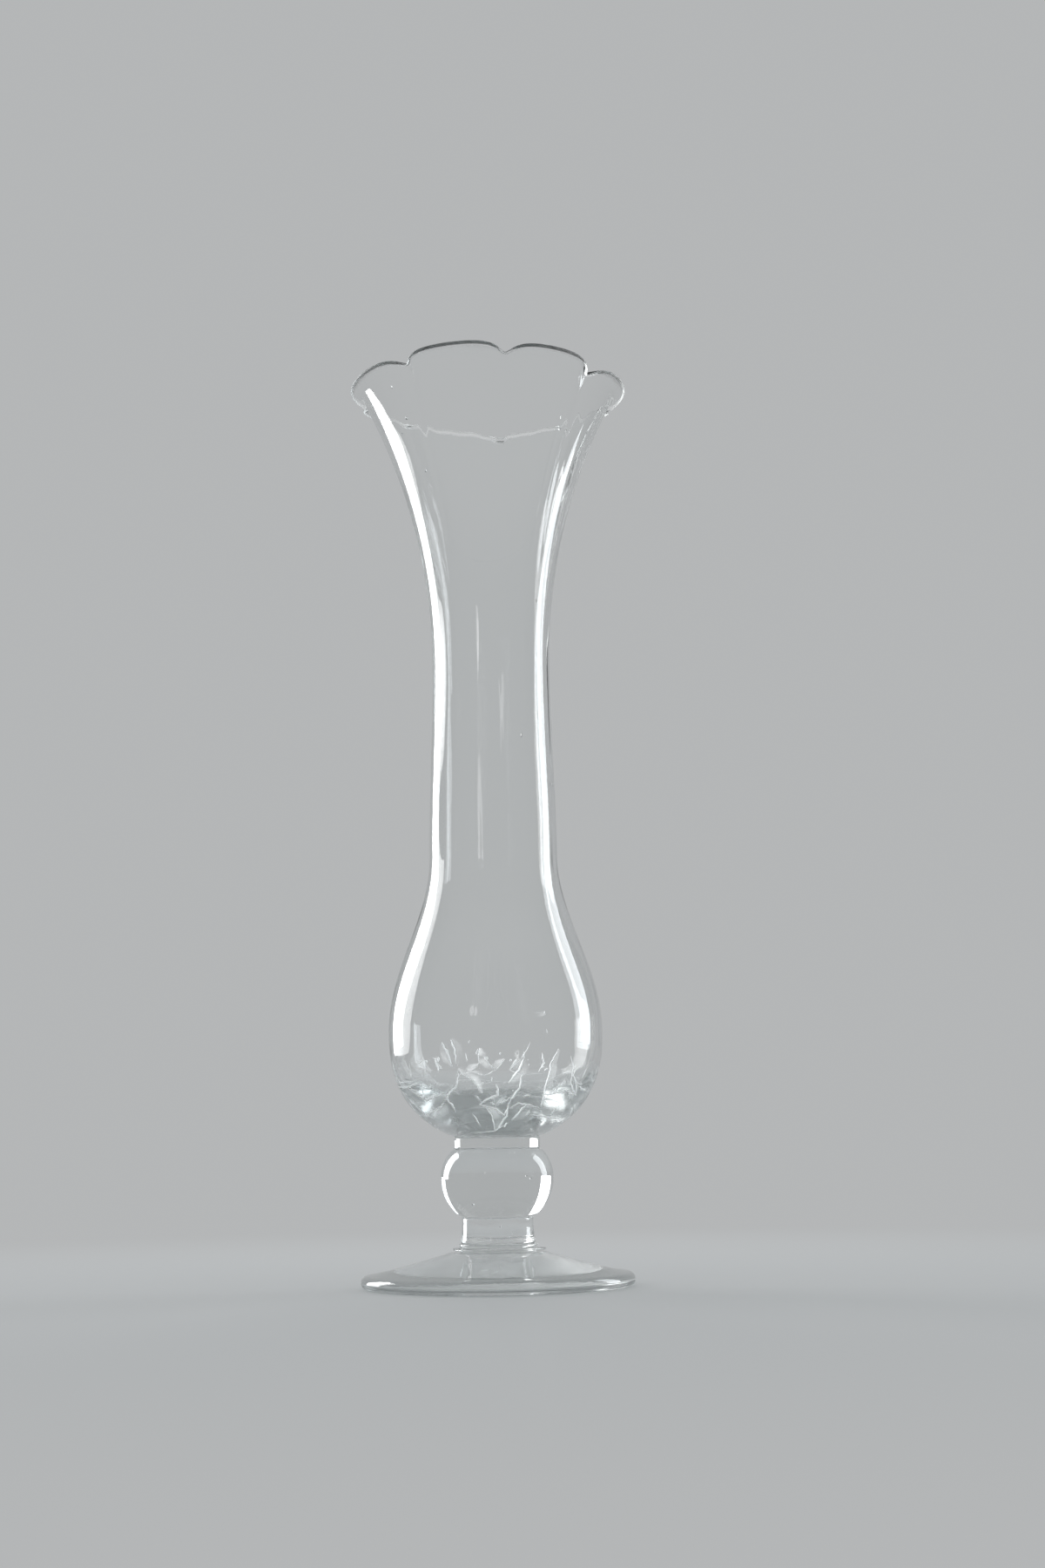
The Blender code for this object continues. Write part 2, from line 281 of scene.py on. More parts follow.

# %% [markdown]
# ## From a live modifier to a plain mesh
#
# A tree is only a recipe until Blender evaluates it. This helper gives a modifier its inputs by their sockets'
# identifiers, evaluates the object, keeps the result as a plain mesh and takes the modifier off, because the
# frame wants finished meshes.

# %% Applying a tree
def apply_tree(name, points, edges, tree, identifiers, values, attributes=()):
    """An object made by running a tree, with its inputs' values, on a mesh of points and edges in metres."""
    start = bpy.data.meshes.new(name + "_start")
    start.from_pydata(points, edges, [])
    for key, kind, data in attributes:
        layer = start.attributes.new(key, kind, "POINT")
        layer.data.foreach_set("vector" if kind == "FLOAT_VECTOR" else "value", data)
    made = bpy.data.objects.new(name, start)
    bpy.context.scene.collection.objects.link(made)
    modifier = made.modifiers.new(tree.name, "NODES")
    modifier.node_group = tree
    for title, value in values.items():
        modifier[identifiers[title]] = value
    evaluated = made.evaluated_get(bpy.context.evaluated_depsgraph_get())
    finished = bpy.data.meshes.new_from_object(evaluated)
    made.modifiers.remove(modifier)
    made.data = finished
    finished.name = name
    bpy.data.meshes.remove(start)
    return made


def turn(name, outline, columns, glass):
    """A gather turned from its outline, which is in millimetres."""
    points = [(radius * MM, 0.0, height * MM) for radius, height in outline]
    edges = [(i, i + 1) for i in range(len(points) - 1)]
    return apply_tree(name, points, edges, lathe, lathe_inputs, {"Columns": columns, "Glass": glass})


# %% [markdown]
# ## Clear glass
#
# Clear glass has hardly a colour of its own. What shows it is how it bends what stands behind it, the bright
# reflections at its edges, and the faint grey where a ray runs a long way through it, which Volume Absorption
# gives by the real depth. Blown glass is never quite even: cords of slightly different thickness run up the wall,
# the surface ripples where it was tooled, and handling leaves a breath of haze. A group makes those three as a
# height and a roughness, and every glass here uses it with its own values. Its Blur input adds the roughness of
# a matt or crackled place, a little stronger and weaker in patches.

# %% The blown surface group
blown, blown_in, _ = new_group("blown_surface", "ShaderNodeTree", (
    ("Place", "NodeSocketVector", None),
    ("Cord Spacing", "NodeSocketFloat", 0.004),
    ("Cord Length", "NodeSocketFloat", 0.05),
    ("Ripple Size", "NodeSocketFloat", 0.006),
    ("Ripple Share", "NodeSocketFloat", 0.3),
    ("Haze", "NodeSocketFloat", 0.03),
    ("Blur", "NodeSocketFloat", 0.0),
))
spot = add(blown, "ShaderNodeSeparateXYZ", {0: blown_in["Place"]}).outputs
cord_place = add(blown, "ShaderNodeCombineXYZ", {
    "X": maths(blown, "DIVIDE", spot["X"], blown_in["Cord Spacing"]),
    "Y": maths(blown, "DIVIDE", spot["Y"], blown_in["Cord Spacing"]),
    "Z": maths(blown, "DIVIDE", spot["Z"], blown_in["Cord Length"]),
}).outputs[0]
cords = noise_field(blown, cord_place, 1.0, 1.5)
fineness = maths(blown, "DIVIDE", 1, blown_in["Ripple Size"])
ripples = noise_field(blown, blown_in["Place"], fineness, 1.0)
rippled = maths(blown, "MULTIPLY", ripples, blown_in["Ripple Share"])
smears = noise_field(blown, blown_in["Place"], 70.0, 3.0, 1.2)
haze = ranged(blown, smears, 0.45, 0.75, 0.0, blown_in["Haze"])
splinters = noise_field(blown, blown_in["Place"], 260.0, 2.0)
patches = ranged(blown, splinters, 0.3, 0.7, 0.7, 1.0)
blurred = maths(blown, "ADD", haze, maths(blown, "MULTIPLY", blown_in["Blur"], patches))
height = maths(blown, "ADD", cords, rippled)
end_group(blown, "NodeSocketFloat", {"Height": height, "Roughness": blurred})
print("the blown surface has", len(blown.nodes), "nodes")

# %% [markdown]
# ## The glass of each gather
#
# A shadow ray can't bend, so plain glass would throw the shadow of a stone. Light Path lets shadow and diffuse
# rays pass a Transparent shader instead, which Layer Weight darkens towards the edges: the table then gets the
# soft ringed shadow that a real vase has. Layer Weight also paints shade into the glass's own colour where it is
# seen edge-on: a painted grey that draws its outline on a pale ground. The shaders stay in the material itself,
# and the numbers that are the same all over sit directly on their sockets.

# %% Making a glass
WHITE = (1, 1, 1, 1)
# GREY_EDGE_ON is painted shade: the glass's colour turns to it where the glass is seen edge-on, to outline it
CLEAR_AHEAD, GREY_EDGE_ON = (0.99, 0.995, 0.995, 1), (0.42, 0.45, 0.45, 1)
SHADE_AHEAD, SHADE_EDGE_ON = (0.99, 0.992, 0.992, 1), (0.68, 0.71, 0.70, 1)
DEPTH_GREY = (0.77, 0.79, 0.79, 1)
GLASS_INDEX = 1.5


def clear_glass(name, cord_spacing, cord_length, bump_depth, haze, density):
    material = bpy.data.materials.new(name)
    tree = blank_tree(material)
    surface = add(tree, "ShaderNodeGroup", {
        "Place": object_place(tree),
        "Cord Spacing": cord_spacing,
        "Cord Length": cord_length,
        "Haze": haze,
        "Blur": add(tree, "ShaderNodeAttribute", attribute_name="blur").outputs["Fac"],
    }, node_tree=blown).outputs
    bump = add(tree, "ShaderNodeBump", {"Distance": bump_depth, "Height": surface["Height"]}).outputs[0]
    facing = add(tree, "ShaderNodeLayerWeight", {"Blend": 0.35}).outputs["Facing"]
    # Painted shade: the base colour greys towards the edges, where the glass is seen edge-on
    edge_on = maths(tree, "POWER", facing, 2.5)
    glass = add(tree, "ShaderNodeBsdfPrincipled", {
        "Base Color": mixed_colour(tree, edge_on, CLEAR_AHEAD, GREY_EDGE_ON),
        "Roughness": surface["Roughness"],
        "IOR": GLASS_INDEX,
        "Transmission Weight": 1.0,
        "Normal": bump,
    }).outputs[0]
    shade = mixed_colour(tree, facing, SHADE_AHEAD, SHADE_EDGE_ON)
    passed = add(tree, "ShaderNodeBsdfTransparent", {"Color": shade}).outputs[0]
    ray = tree.nodes.new("ShaderNodeLightPath").outputs
    unbent = maths(tree, "MAXIMUM", ray["Is Shadow Ray"], ray["Is Diffuse Ray"])
    fused = add(tree, "ShaderNodeAttribute", attribute_name="fused").outputs["Fac"]
    straight_on = add(tree, "ShaderNodeBsdfTransparent", {"Color": WHITE}).outputs[0]
    add(tree, "ShaderNodeOutputMaterial", {
        "Surface": mixed(tree, fused, mixed(tree, unbent, glass, passed), straight_on),
        "Volume": add(tree, "ShaderNodeVolumeAbsorption", {"Color": DEPTH_GREY, "Density": density}).outputs[0],
    })
    return material


vessel_glass = clear_glass("vessel_glass", 0.005, 0.09, 0.012 * MM, 0.03, 60)
stem_glass = clear_glass("stem_glass", 0.004, 0.012, 0.010 * MM, 0.03, 26)
foot_glass = clear_glass("foot_glass", 0.006, 0.006, 0.030 * MM, 0.05, 26)
print("glasses:", ", ".join(glass.name for glass in (vessel_glass, stem_glass, foot_glass)))

# %% [markdown]
# ## The weld and the blur
#
# Where two gathers are fused there is no surface inside: light goes straight on. Each gather is still a closed
# shell, so the discs where they meet carry an attribute, fused, which the glass turns into Transparent alone. A
# second material would do it too, but Cycles counts a ray in and out of the absorbing volume by its material, and
# the ray would never come out. A second attribute, blur, says where the surface is matt or crackled.

# %% Marking discs and blurred places
def weld_discs(piece, discs):
    """Marks the flat faces at each (height, radius) in millimetres as fused, and keeps the joints' rims crisp."""
    mesh = piece.data
    marks = []
    for face in mesh.polygons:
        spots = [mesh.vertices[i].co for i in face.vertices]
        marks.append(float(any(
            all(abs(spot.z - height * MM) < 0.004 * MM and hypot(spot.x, spot.y) < (radius + 0.01) * MM
                for spot in spots)
            for height, radius in discs
        )))
    mesh.attributes.new("fused", "FLOAT", "FACE").data.foreach_set("value", marks)
    mesh.set_sharp_from_angle(angle=radians(50))


def blur_where(piece, amount):
    """Sets how blurred each point of a piece is. amount takes a radius and a height in millimetres."""
    blurs = [amount(hypot(v.co.x, v.co.y) / MM, v.co.z / MM) for v in piece.data.vertices]
    piece.data.attributes.new("blur", "FLOAT", "POINT").data.foreach_set("value", blurs)


def reshape(piece, move):
    """Moves every point of a turned piece. move takes and returns bearing, radius and height, in degrees and mm.

    A bearing of 0 faces the camera, and bearings grow to the right.
    """
    for vertex in piece.data.vertices:
        x, y, z = vertex.co / MM
        bearing, radius, height = move(degrees(atan2(x, -y)), hypot(x, y), z)
        angle = radians(bearing)
        vertex.co = Vector((radius * sin(angle), -radius * cos(angle), height)) * MM


def triangles(piece):
    piece.data.calc_loop_triangles()
    return len(piece.data.loop_triangles)


# %% [markdown]
# ## The foot
#
# A low cone with hollow flanks and a fat, fire-polished edge. It stands on a flat ring, and the middle of its
# underside is dished so that it doesn't rock. Only the middle of its top is fused to the wafer, so the weld is
# smaller than the flat top. Its edge is a little uneven in thickness, as a foot that was shaped by hand is, and
# the dish under it is matt from the tool that pressed it.

# %% Foot
FOOT_WELD_RADIUS = 8.0
DISH_RADIUS = FOOT_RADIUS - FOOT_EDGE_THICKNESS / 2 - STANDING_RING_WIDTH
DISH_BLUR, DISH_BLUR_HEIGHT = 0.42, 1.3
FOOT_WAVES = ((0.126, 1, 0.0), (0.045, 3, radians(40)))
FOOT_WAVE_START, FOOT_WAVE_RUN = 20, 9


def foot_outline():
    edge = FOOT_EDGE_THICKNESS / 2
    edge_centre = FOOT_RADIUS - edge
    run = edge_centre - FOOT_TOP_RADIUS
    rise = FOOT_HEIGHT - FOOT_EDGE_THICKNESS
    top = FOOT_JOINT - HAIR
    flat = [(0, top), (FOOT_WELD_RADIUS / 2, top), (FOOT_WELD_RADIUS, top)]
    flat += [(FOOT_WELD_RADIUS + 0.1, FOOT_HEIGHT), (9.2, FOOT_HEIGHT)]
    cone = [(edge_centre - run * t, FOOT_EDGE_THICKNESS + rise * t**FOOT_HOLLOWING) for t in steps(24, 1, 0)]
    ring = edge_centre - STANDING_RING_WIDTH
    under = [(ring + STANDING_RING_WIDTH * t, 0.0) for t in steps(4, 1, 0)]
    dish = [(ring * t, DISH_DEPTH * (1 + cos(pi * t)) / 2) for t in steps(20, 1, 0)]
    return flat + cone[:-1] + arc(edge_centre, edge, edge, 90, -90, 20) + under[1:] + dish[1:]


def unlevel_edge(bearing, radius, height):
    """Thickens the edge on the right and thins it on the left, by a tenth of a millimetre."""
    near_edge = held((radius - FOOT_WAVE_START) / FOOT_WAVE_RUN)
    lift = waves(radians(bearing), FOOT_WAVES) * near_edge**2
    return bearing, radius, height * (1 + lift / FOOT_EDGE_THICKNESS)


foot = turn("foot_blown", foot_outline(), 192, foot_glass)
reshape(foot, unlevel_edge)
weld_discs(foot, [(FOOT_JOINT - HAIR, FOOT_WELD_RADIUS)])
blur_where(foot, lambda radius, height: DISH_BLUR if height < DISH_BLUR_HEIGHT and radius < DISH_RADIUS else 0.0)
print("foot:", triangles(foot), "triangles")

# %% [markdown]
# ## The foot wafer
#
# When the stem was pressed on the foot, hot glass squeezed out and folded: a thin skirt with a second, smaller
# fold on top of it, pushed over to the right. It is turned with both folds, and then its edges are moved out
# of true, more on the right than on the left.

# %% Foot wafer
WAFER_WELD_RADIUS = 7.9
SKIRT_RADIUS, SKIRT_ROUNDING, SKIRT_RISE = 10.05, 0.22, 0.42
FOLD_RADIUS, FOLD_ROUNDING, FOLD_DROP = 8.55, 0.25, 0.45
LOOSE_START, LOOSE_RUN = 8.0, 1.6
PUSH_WAVES = ((0.34, 1, 0.0), (0.09, 2, 0.8), (0.05, 5, 2))
TIP_WAVES, LOWEST_TIP = ((0.10, 2, -0.6), (0.05, 7, 0.0)), -0.05


def wafer_outline():
    top, bottom = WAFER_JOINT - HAIR, FOOT_JOINT + HAIR
    skirt_height = bottom + SKIRT_RISE
    flat = [(0, top), (WAFER_WELD_RADIUS / 2, top), (WAFER_WELD_RADIUS, top)]
    fold = arc(FOLD_RADIUS - FOLD_ROUNDING, top - FOLD_DROP, FOLD_ROUNDING, 70, -90, 8)
    groove = [(8.15, top - 0.85), (8.35, top - 1.0)]
    skirt = [(9.2, skirt_height + 0.3)]
    skirt += arc(SKIRT_RADIUS - SKIRT_ROUNDING, skirt_height, SKIRT_ROUNDING, 80, -90, 8)
    under = [(9.2, bottom + 0.12), (8.6, bottom + 0.03), (FOOT_WELD_RADIUS, bottom), (4.0, bottom), (0, bottom)]
    return flat + fold + groove + skirt + under


def crooked_wafer(bearing, radius, height):
    """Pushes the folds out to the right, waves their edges and tips the skirt a little."""
    turned = radians(bearing)
    loose = held((radius - LOOSE_START) / LOOSE_RUN)
    push, tip = waves(turned, PUSH_WAVES), waves(turned, TIP_WAVES)
    return bearing, radius + push * loose, height + max(tip, LOWEST_TIP) * loose


foot_wafer = turn("foot_wafer_blown", wafer_outline(), 144, stem_glass)
reshape(foot_wafer, crooked_wafer)
weld_discs(foot_wafer, [(WAFER_JOINT - HAIR, WAFER_WELD_RADIUS), (FOOT_JOINT + HAIR, FOOT_WELD_RADIUS)])
print("foot wafer:", triangles(foot_wafer), "triangles")

# %% [markdown]
# ## The two collars
#
# Each collar is a short solid column. The glassworker necks the hot glass in with jacks, which leaves a small
# crease at both ends, and these creases show as the bright rings round the stem. A column is an outline with
# small arcs at its ends; the stem collar also spreads a little towards the wafer.

# %% Stem collar and upper collar
CREASE = 0.35
# The flat discs at the collars' ends, inside their creases
STEM_DISC_RADIUS, UPPER_DISC_RADIUS = 7.5, 9.1


def collar_outline(bottom, top, radius, spread):
    high, low = top - HAIR, bottom + HAIR
    straight = high - low - 2 * CREASE
    side = [(radius + spread * t**3, high - CREASE - straight * t) for t in steps(14)]
    head = arc(radius - CREASE, high - CREASE, CREASE, 90, 0, 6)
    heel = arc(radius + spread - CREASE, low + CREASE, CREASE, 0, -90, 6)
    return [(0, high), (radius / 2, high)] + head[:-1] + side + heel[1:] + [(radius / 2, low), (0, low)]


def tooled_collar(bearing, radius, height):
    """Leaves the faint flats and the slight lean of a collar that was necked in with jacks."""
    waver = waves(radians(bearing), ((0.05, 2, 0.5), (0.035, 5, height * 0.6)))
    return bearing, radius * (1 + waver / STEM_COLLAR_RADIUS), height


stem_collar = turn(
    "stem_collar_blown", collar_outline(WAFER_JOINT, STEM_JOINT, STEM_COLLAR_RADIUS, STEM_COLLAR_SPREAD),
    144, stem_glass,
)
reshape(stem_collar, tooled_collar)
weld_discs(stem_collar, [(STEM_JOINT - HAIR, STEM_DISC_RADIUS), (WAFER_JOINT + HAIR, WAFER_WELD_RADIUS)])

upper_collar = turn(
    "upper_collar_blown", collar_outline(KNOP_JOINT, VESSEL_JOINT, UPPER_COLLAR_RADIUS, 0.0), 144, stem_glass
)
reshape(upper_collar, tooled_collar)
weld_discs(upper_collar, [(VESSEL_JOINT - HAIR, UPPER_DISC_RADIUS), (KNOP_JOINT + HAIR, UPPER_DISC_RADIUS)])
print("collars:", triangles(stem_collar), "and", triangles(upper_collar), "triangles")

# %% [markdown]
# ## The knop
#
# The knop is a solid ball, a little flattened, that swells out of the two collars. Being solid it works as a
# strong lens: it shows the room upside down, with the softboxes as two crescents close to its edges. Its outline
# is the taper from collar to collar plus a swell, the same rule as in the CAD with more steps.

# %% Knop
def knop_outline():
    high, low = KNOP_JOINT - HAIR, STEM_JOINT + HAIR
    taper = STEM_COLLAR_RADIUS - UPPER_COLLAR_RADIUS
    ball = []
    for angle in steps(72, 0, pi):
        t = (1 - cos(angle)) / 2
        swell = KNOP_SWELL * (4 * t * (1 - t)) ** KNOP_ROUNDNESS
        ball.append((UPPER_COLLAR_RADIUS + taper * t + swell, blend(high, low, t)))
    return [(0, high), (UPPER_COLLAR_RADIUS / 2, high)] + ball + [(STEM_COLLAR_RADIUS / 2, low), (0, low)]


knop = turn("knop_blown", knop_outline(), 192, stem_glass)
weld_discs(knop, [(KNOP_JOINT - HAIR, UPPER_COLLAR_RADIUS), (STEM_JOINT + HAIR, STEM_COLLAR_RADIUS)])
print("knop:", triangles(knop), "triangles")

# %% [markdown]
# ## The vessel's outline
#
# The outside runs in one sweep: a full bulb, a shoulder, a slender neck with its waist, and a trumpet that turns
# over at the lip. The lengths here are measured up from the vessel's seat, as in the CAD. The wall follows inside,
# measured square to the outside, and the floor is thick, because the glass was gathered there.

# %% Outside of the vessel
def outer_radius(height):
    """Radius of the outside at a height between the bulb's widest ring and the lip's turn."""
    if height < NECK_BASE_HEIGHT:
        t = (height - BULB_HEIGHT) / (NECK_BASE_HEIGHT - BULB_HEIGHT)
        return NECK_BASE_RADIUS + (BULB_RADIUS - NECK_BASE_RADIUS) * (1 + cos(pi * t)) / 2
    if height < WAIST_HEIGHT:
        t = (height - NECK_BASE_HEIGHT) / (WAIST_HEIGHT - NECK_BASE_HEIGHT)
        return WAIST_RADIUS + (NECK_BASE_RADIUS - WAIST_RADIUS) * (1 + cos(pi * t)) / 2
    t = (height - WAIST_HEIGHT) / (TRUMPET_HEIGHT - WAIST_HEIGHT)
    return WAIST_RADIUS + (TRUMPET_RADIUS - WAIST_RADIUS) * t**TRUMPET_FLARE


def outer_slope(height):
    return (outer_radius(height) - outer_radius(height - 0.01)) / 0.01


def wall(height):
    t = (height - WAIST_HEIGHT) / (TRUMPET_HEIGHT - WAIST_HEIGHT)
    return WALL_THICKNESS + (LIP_THICKNESS - WALL_THICKNESS) * max(t, 0.0)


def oval(radius, depth, last_turn, count, fullness=BULB_FULLNESS):
    """The lower bulb as a full oval, from its widest ring down through last_turn radians."""
    return [
        (radius * cos(a), BULB_HEIGHT - depth * sin(a) ** (2 / fullness)) for a in steps(count, 0, last_turn)
    ]


SEAT_TURN = acos(UPPER_COLLAR_RADIUS / BULB_RADIUS)
OUTER_DEPTH = BULB_HEIGHT / sin(SEAT_TURN) ** (2 / BULB_FULLNESS)
SEAT_DISC_RADIUS = UPPER_COLLAR_RADIUS - 0.3
print("the bulb's oval is", round(OUTER_DEPTH, 1), "mm deep")


# %% The whole outline of the vessel
def vessel_outline():
    """Up the inside from the middle of the floor, over the lip, and down the outside to the seat."""
    heights = steps(74, TRUMPET_HEIGHT, WAIST_HEIGHT)[:-1] + steps(14, WAIST_HEIGHT, NECK_BASE_HEIGHT)[:-1]
    heights += steps(34, NECK_BASE_HEIGHT, BULB_HEIGHT)[:-1]
    outer_wall = [(outer_radius(h), h) for h in heights]
    inner_wall = []
    for radius, height in outer_wall:
        slope = outer_slope(height)
        length = hypot(1, slope)
        inner_wall.append((radius - wall(height) / length, height + wall(height) * slope / length))
    outer_bulb = oval(BULB_RADIUS, OUTER_DEPTH, SEAT_TURN, 26)
    inner_bulb = oval(BULB_RADIUS - WALL_THICKNESS, BULB_HEIGHT - FLOOR_THICKNESS, pi / 2, 30, INNER_FULLNESS)
    lean = atan(outer_slope(TRUMPET_HEIGHT))
    centre_r = TRUMPET_RADIUS + LIP_TURN_RADIUS * cos(lean)
    centre_z = TRUMPET_HEIGHT - LIP_TURN_RADIUS * sin(lean)
    start, stop = 180 - degrees(lean), 180 - degrees(LIP_LEAN)
    lip_outside = arc(centre_r, centre_z, LIP_TURN_RADIUS, start, stop, 14)
    lip_inside = arc(centre_r, centre_z, LIP_TURN_RADIUS + LIP_THICKNESS, start, stop, 14)
    edge = LIP_THICKNESS / 2
    edge_r = centre_r - (LIP_TURN_RADIUS + edge) * cos(LIP_LEAN)
    edge_z = centre_z + (LIP_TURN_RADIUS + edge) * sin(LIP_LEAN)
    lip_edge = arc(edge_r, edge_z, edge, stop, stop - 180, 10)
    inside = inner_bulb[::-1] + inner_wall[::-1] + lip_inside[1:-1]
    outside = lip_outside[1:-1][::-1] + outer_wall + outer_bulb[:-1]
    crease = [(UPPER_COLLAR_RADIUS - 0.05, 0.12), (SEAT_DISC_RADIUS, 0.0)]
    return inside + lip_edge + outside + crease + [(4.5, 0.0), (0, 0.0)]


print("vessel outline:", len(vessel_outline()), "points")

# %% [markdown]
# ## Crimping the lip
#
# The lip of the hot vessel is nipped with pliers at eight places, so it draws into lobes. The crimps are by hand,
# and no two are alike: each has its bearing, its width in degrees, and how far it pushes the edge in and down.
# Below each one a faint groove runs down the trumpet and fades. The blank is turned with its columns evenly
# spread, then they are gathered at the crimps, where the shape is tightest. The wall's thickness also wavers a
# little round the vase, which draws the fine upright streaks in its reflections. The lip's edge is blurred where
# the pliers left it, and the inner wall is a little blurred behind the crackle.

# %% Crimps, grooves and cords
CRIMPS = (
    (-134, 9.0, 2.8, 2.2),
    (-100, 5.0, 3.4, 1.6),
    (-39, 4.0, 3.4, 1.5),
    (8, 4.0, 3.2, 1.8),
    (52, 4.5, 3.8, 2.6),
    (105, 5.5, 3.2, 2.4),
    (139, 7.0, 2.6, 3.0),
    (174, 8.0, 2.6, 4.0),
)
CRIMP_REACH, CRIMP_FADE, CRIMP_ROUNDING = 14.0, 4, 1.5
LIP_DIP = 1.4
COLUMNS_PER_LOBE, COLUMN_GATHER = 36, 0.7
GROOVE_DEPTH, GROOVE_WIDTH, GROOVE_REACH = 0.22, 3.2, 52.0
CORD_DEPTH, CORD_FINENESS, CORD_RUN, CORD_FADE_RADIUS = 0.10, 5.2, 30, 8
WALL_MARGIN, FLOOR_MARGIN = 0.3, 0.1
LIP_BLUR, LIP_BLUR_WIDTH = 0.62, 0.55
CRACKLE_BLUR, CRACKLE_BLUR_START, CRACKLE_BLUR_RUN = 0.15, 7, 7
# A point of the inner wall is nearer than this to the bulb's middle, and above the vessel's underside
INNER_REACH, UNDERSIDE = 22.9, 1.0


def bearing_in_lobe(turned):
    """Moves a column to the bearing it has in its lobe, where the columns gather at the crimps."""
    place = (turned % 1.0) * len(CRIMPS)
    lobe = min(floor(place), len(CRIMPS) - 1)
    share = place - lobe
    share -= COLUMN_GATHER * sin(2 * pi * share) / (2 * pi)
    start = CRIMPS[lobe][0]
    stop = CRIMPS[lobe + 1][0] if lobe + 1 < len(CRIMPS) else CRIMPS[0][0] + 360
    return blend(start, stop, share)


def crimp_push(bearing):
    """How far the crimps push the edge in and down at a bearing, and how deep the grooves are there."""
    push_in = push_down = groove = 0.0
    for centre, width, deepest_in, deepest_down in CRIMPS:
        away = (bearing - centre + 180) % 360 - 180
        depth = exp(-(hypot(away, CRIMP_ROUNDING) - CRIMP_ROUNDING) / width)
        push_in += depth * deepest_in
        push_down += depth * deepest_down
        groove += exp(-((away / GROOVE_WIDTH) ** 2))
    return push_in, push_down, groove


# %% The vessel
vessel = turn("vessel_blown", vessel_outline(), len(CRIMPS) * COLUMNS_PER_LOBE, vessel_glass)
edge_radius = max(hypot(v.co.x, v.co.y) for v in vessel.data.vertices) / MM
edge_height = max(v.co.z for v in vessel.data.vertices) / MM
crimp_start = TRUMPET_HEIGHT - CRIMP_REACH
crimp_travel = edge_height - crimp_start + edge_radius - TRUMPET_RADIUS


def shape_vessel(bearing, radius, height):
    """Crimps the lip, draws the grooves and wavers the inner wall of one point of the turned blank."""
    bearing = bearing_in_lobe(bearing / 360)
    push_in, push_down, groove = crimp_push(bearing)
    is_inside = radius < outer_radius(max(height, BULB_HEIGHT)) - WALL_MARGIN
    angle = radians(bearing)
    if is_inside and FLOOR_THICKNESS - FLOOR_MARGIN < height < TRUMPET_HEIGHT:
        where = Vector((sin(angle) * CORD_FINENESS, cos(angle) * CORD_FINENESS, height / CORD_RUN))
        radius += CORD_DEPTH * noise.noise(where) * min(1.0, radius / CORD_FADE_RADIUS)
    travel = max(height - crimp_start, 0.0) + max(radius - TRUMPET_RADIUS, 0.0)
    share = (travel / crimp_travel) ** CRIMP_FADE
    fade = held((height - TRUMPET_HEIGHT + GROOVE_REACH) / GROOVE_REACH)
    radius -= GROOVE_DEPTH * groove * fade**2 * (3 - 2 * fade) * (1 - min(share, 1.0))
    radius -= push_in * share
    height -= (push_down + LIP_DIP * sin(angle) ** 2) * share
    return bearing, radius, height + VESSEL_SEAT


def vessel_blur(radius, height):
    """Blurs the lip's edge, and the inner wall where the bulb was dipped."""
    if radius > edge_radius - LIP_BLUR_WIDTH:
        return LIP_BLUR
    is_inner = hypot(radius, height - BULB_HEIGHT) < INNER_REACH and height > UNDERSIDE
    return CRACKLE_BLUR * held((BULB_HEIGHT - height - CRACKLE_BLUR_START) / CRACKLE_BLUR_RUN) if is_inner else 0.0


blur_where(vessel, vessel_blur)
reshape(vessel, shape_vessel)
# The disc at the seat goes down to the middle of the joint
for vertex in vessel.data.vertices:
    if vertex.co.z < (VESSEL_SEAT + 0.05) * MM:
        vertex.co.z = (VESSEL_JOINT + HAIR) * MM
weld_discs(vessel, [(VESSEL_JOINT + HAIR, SEAT_DISC_RADIUS)])
lip_height = max(v.co.z for v in vessel.data.vertices) / MM
print("vessel:", triangles(vessel), "triangles, lip at", round(lip_height, 1), "mm")
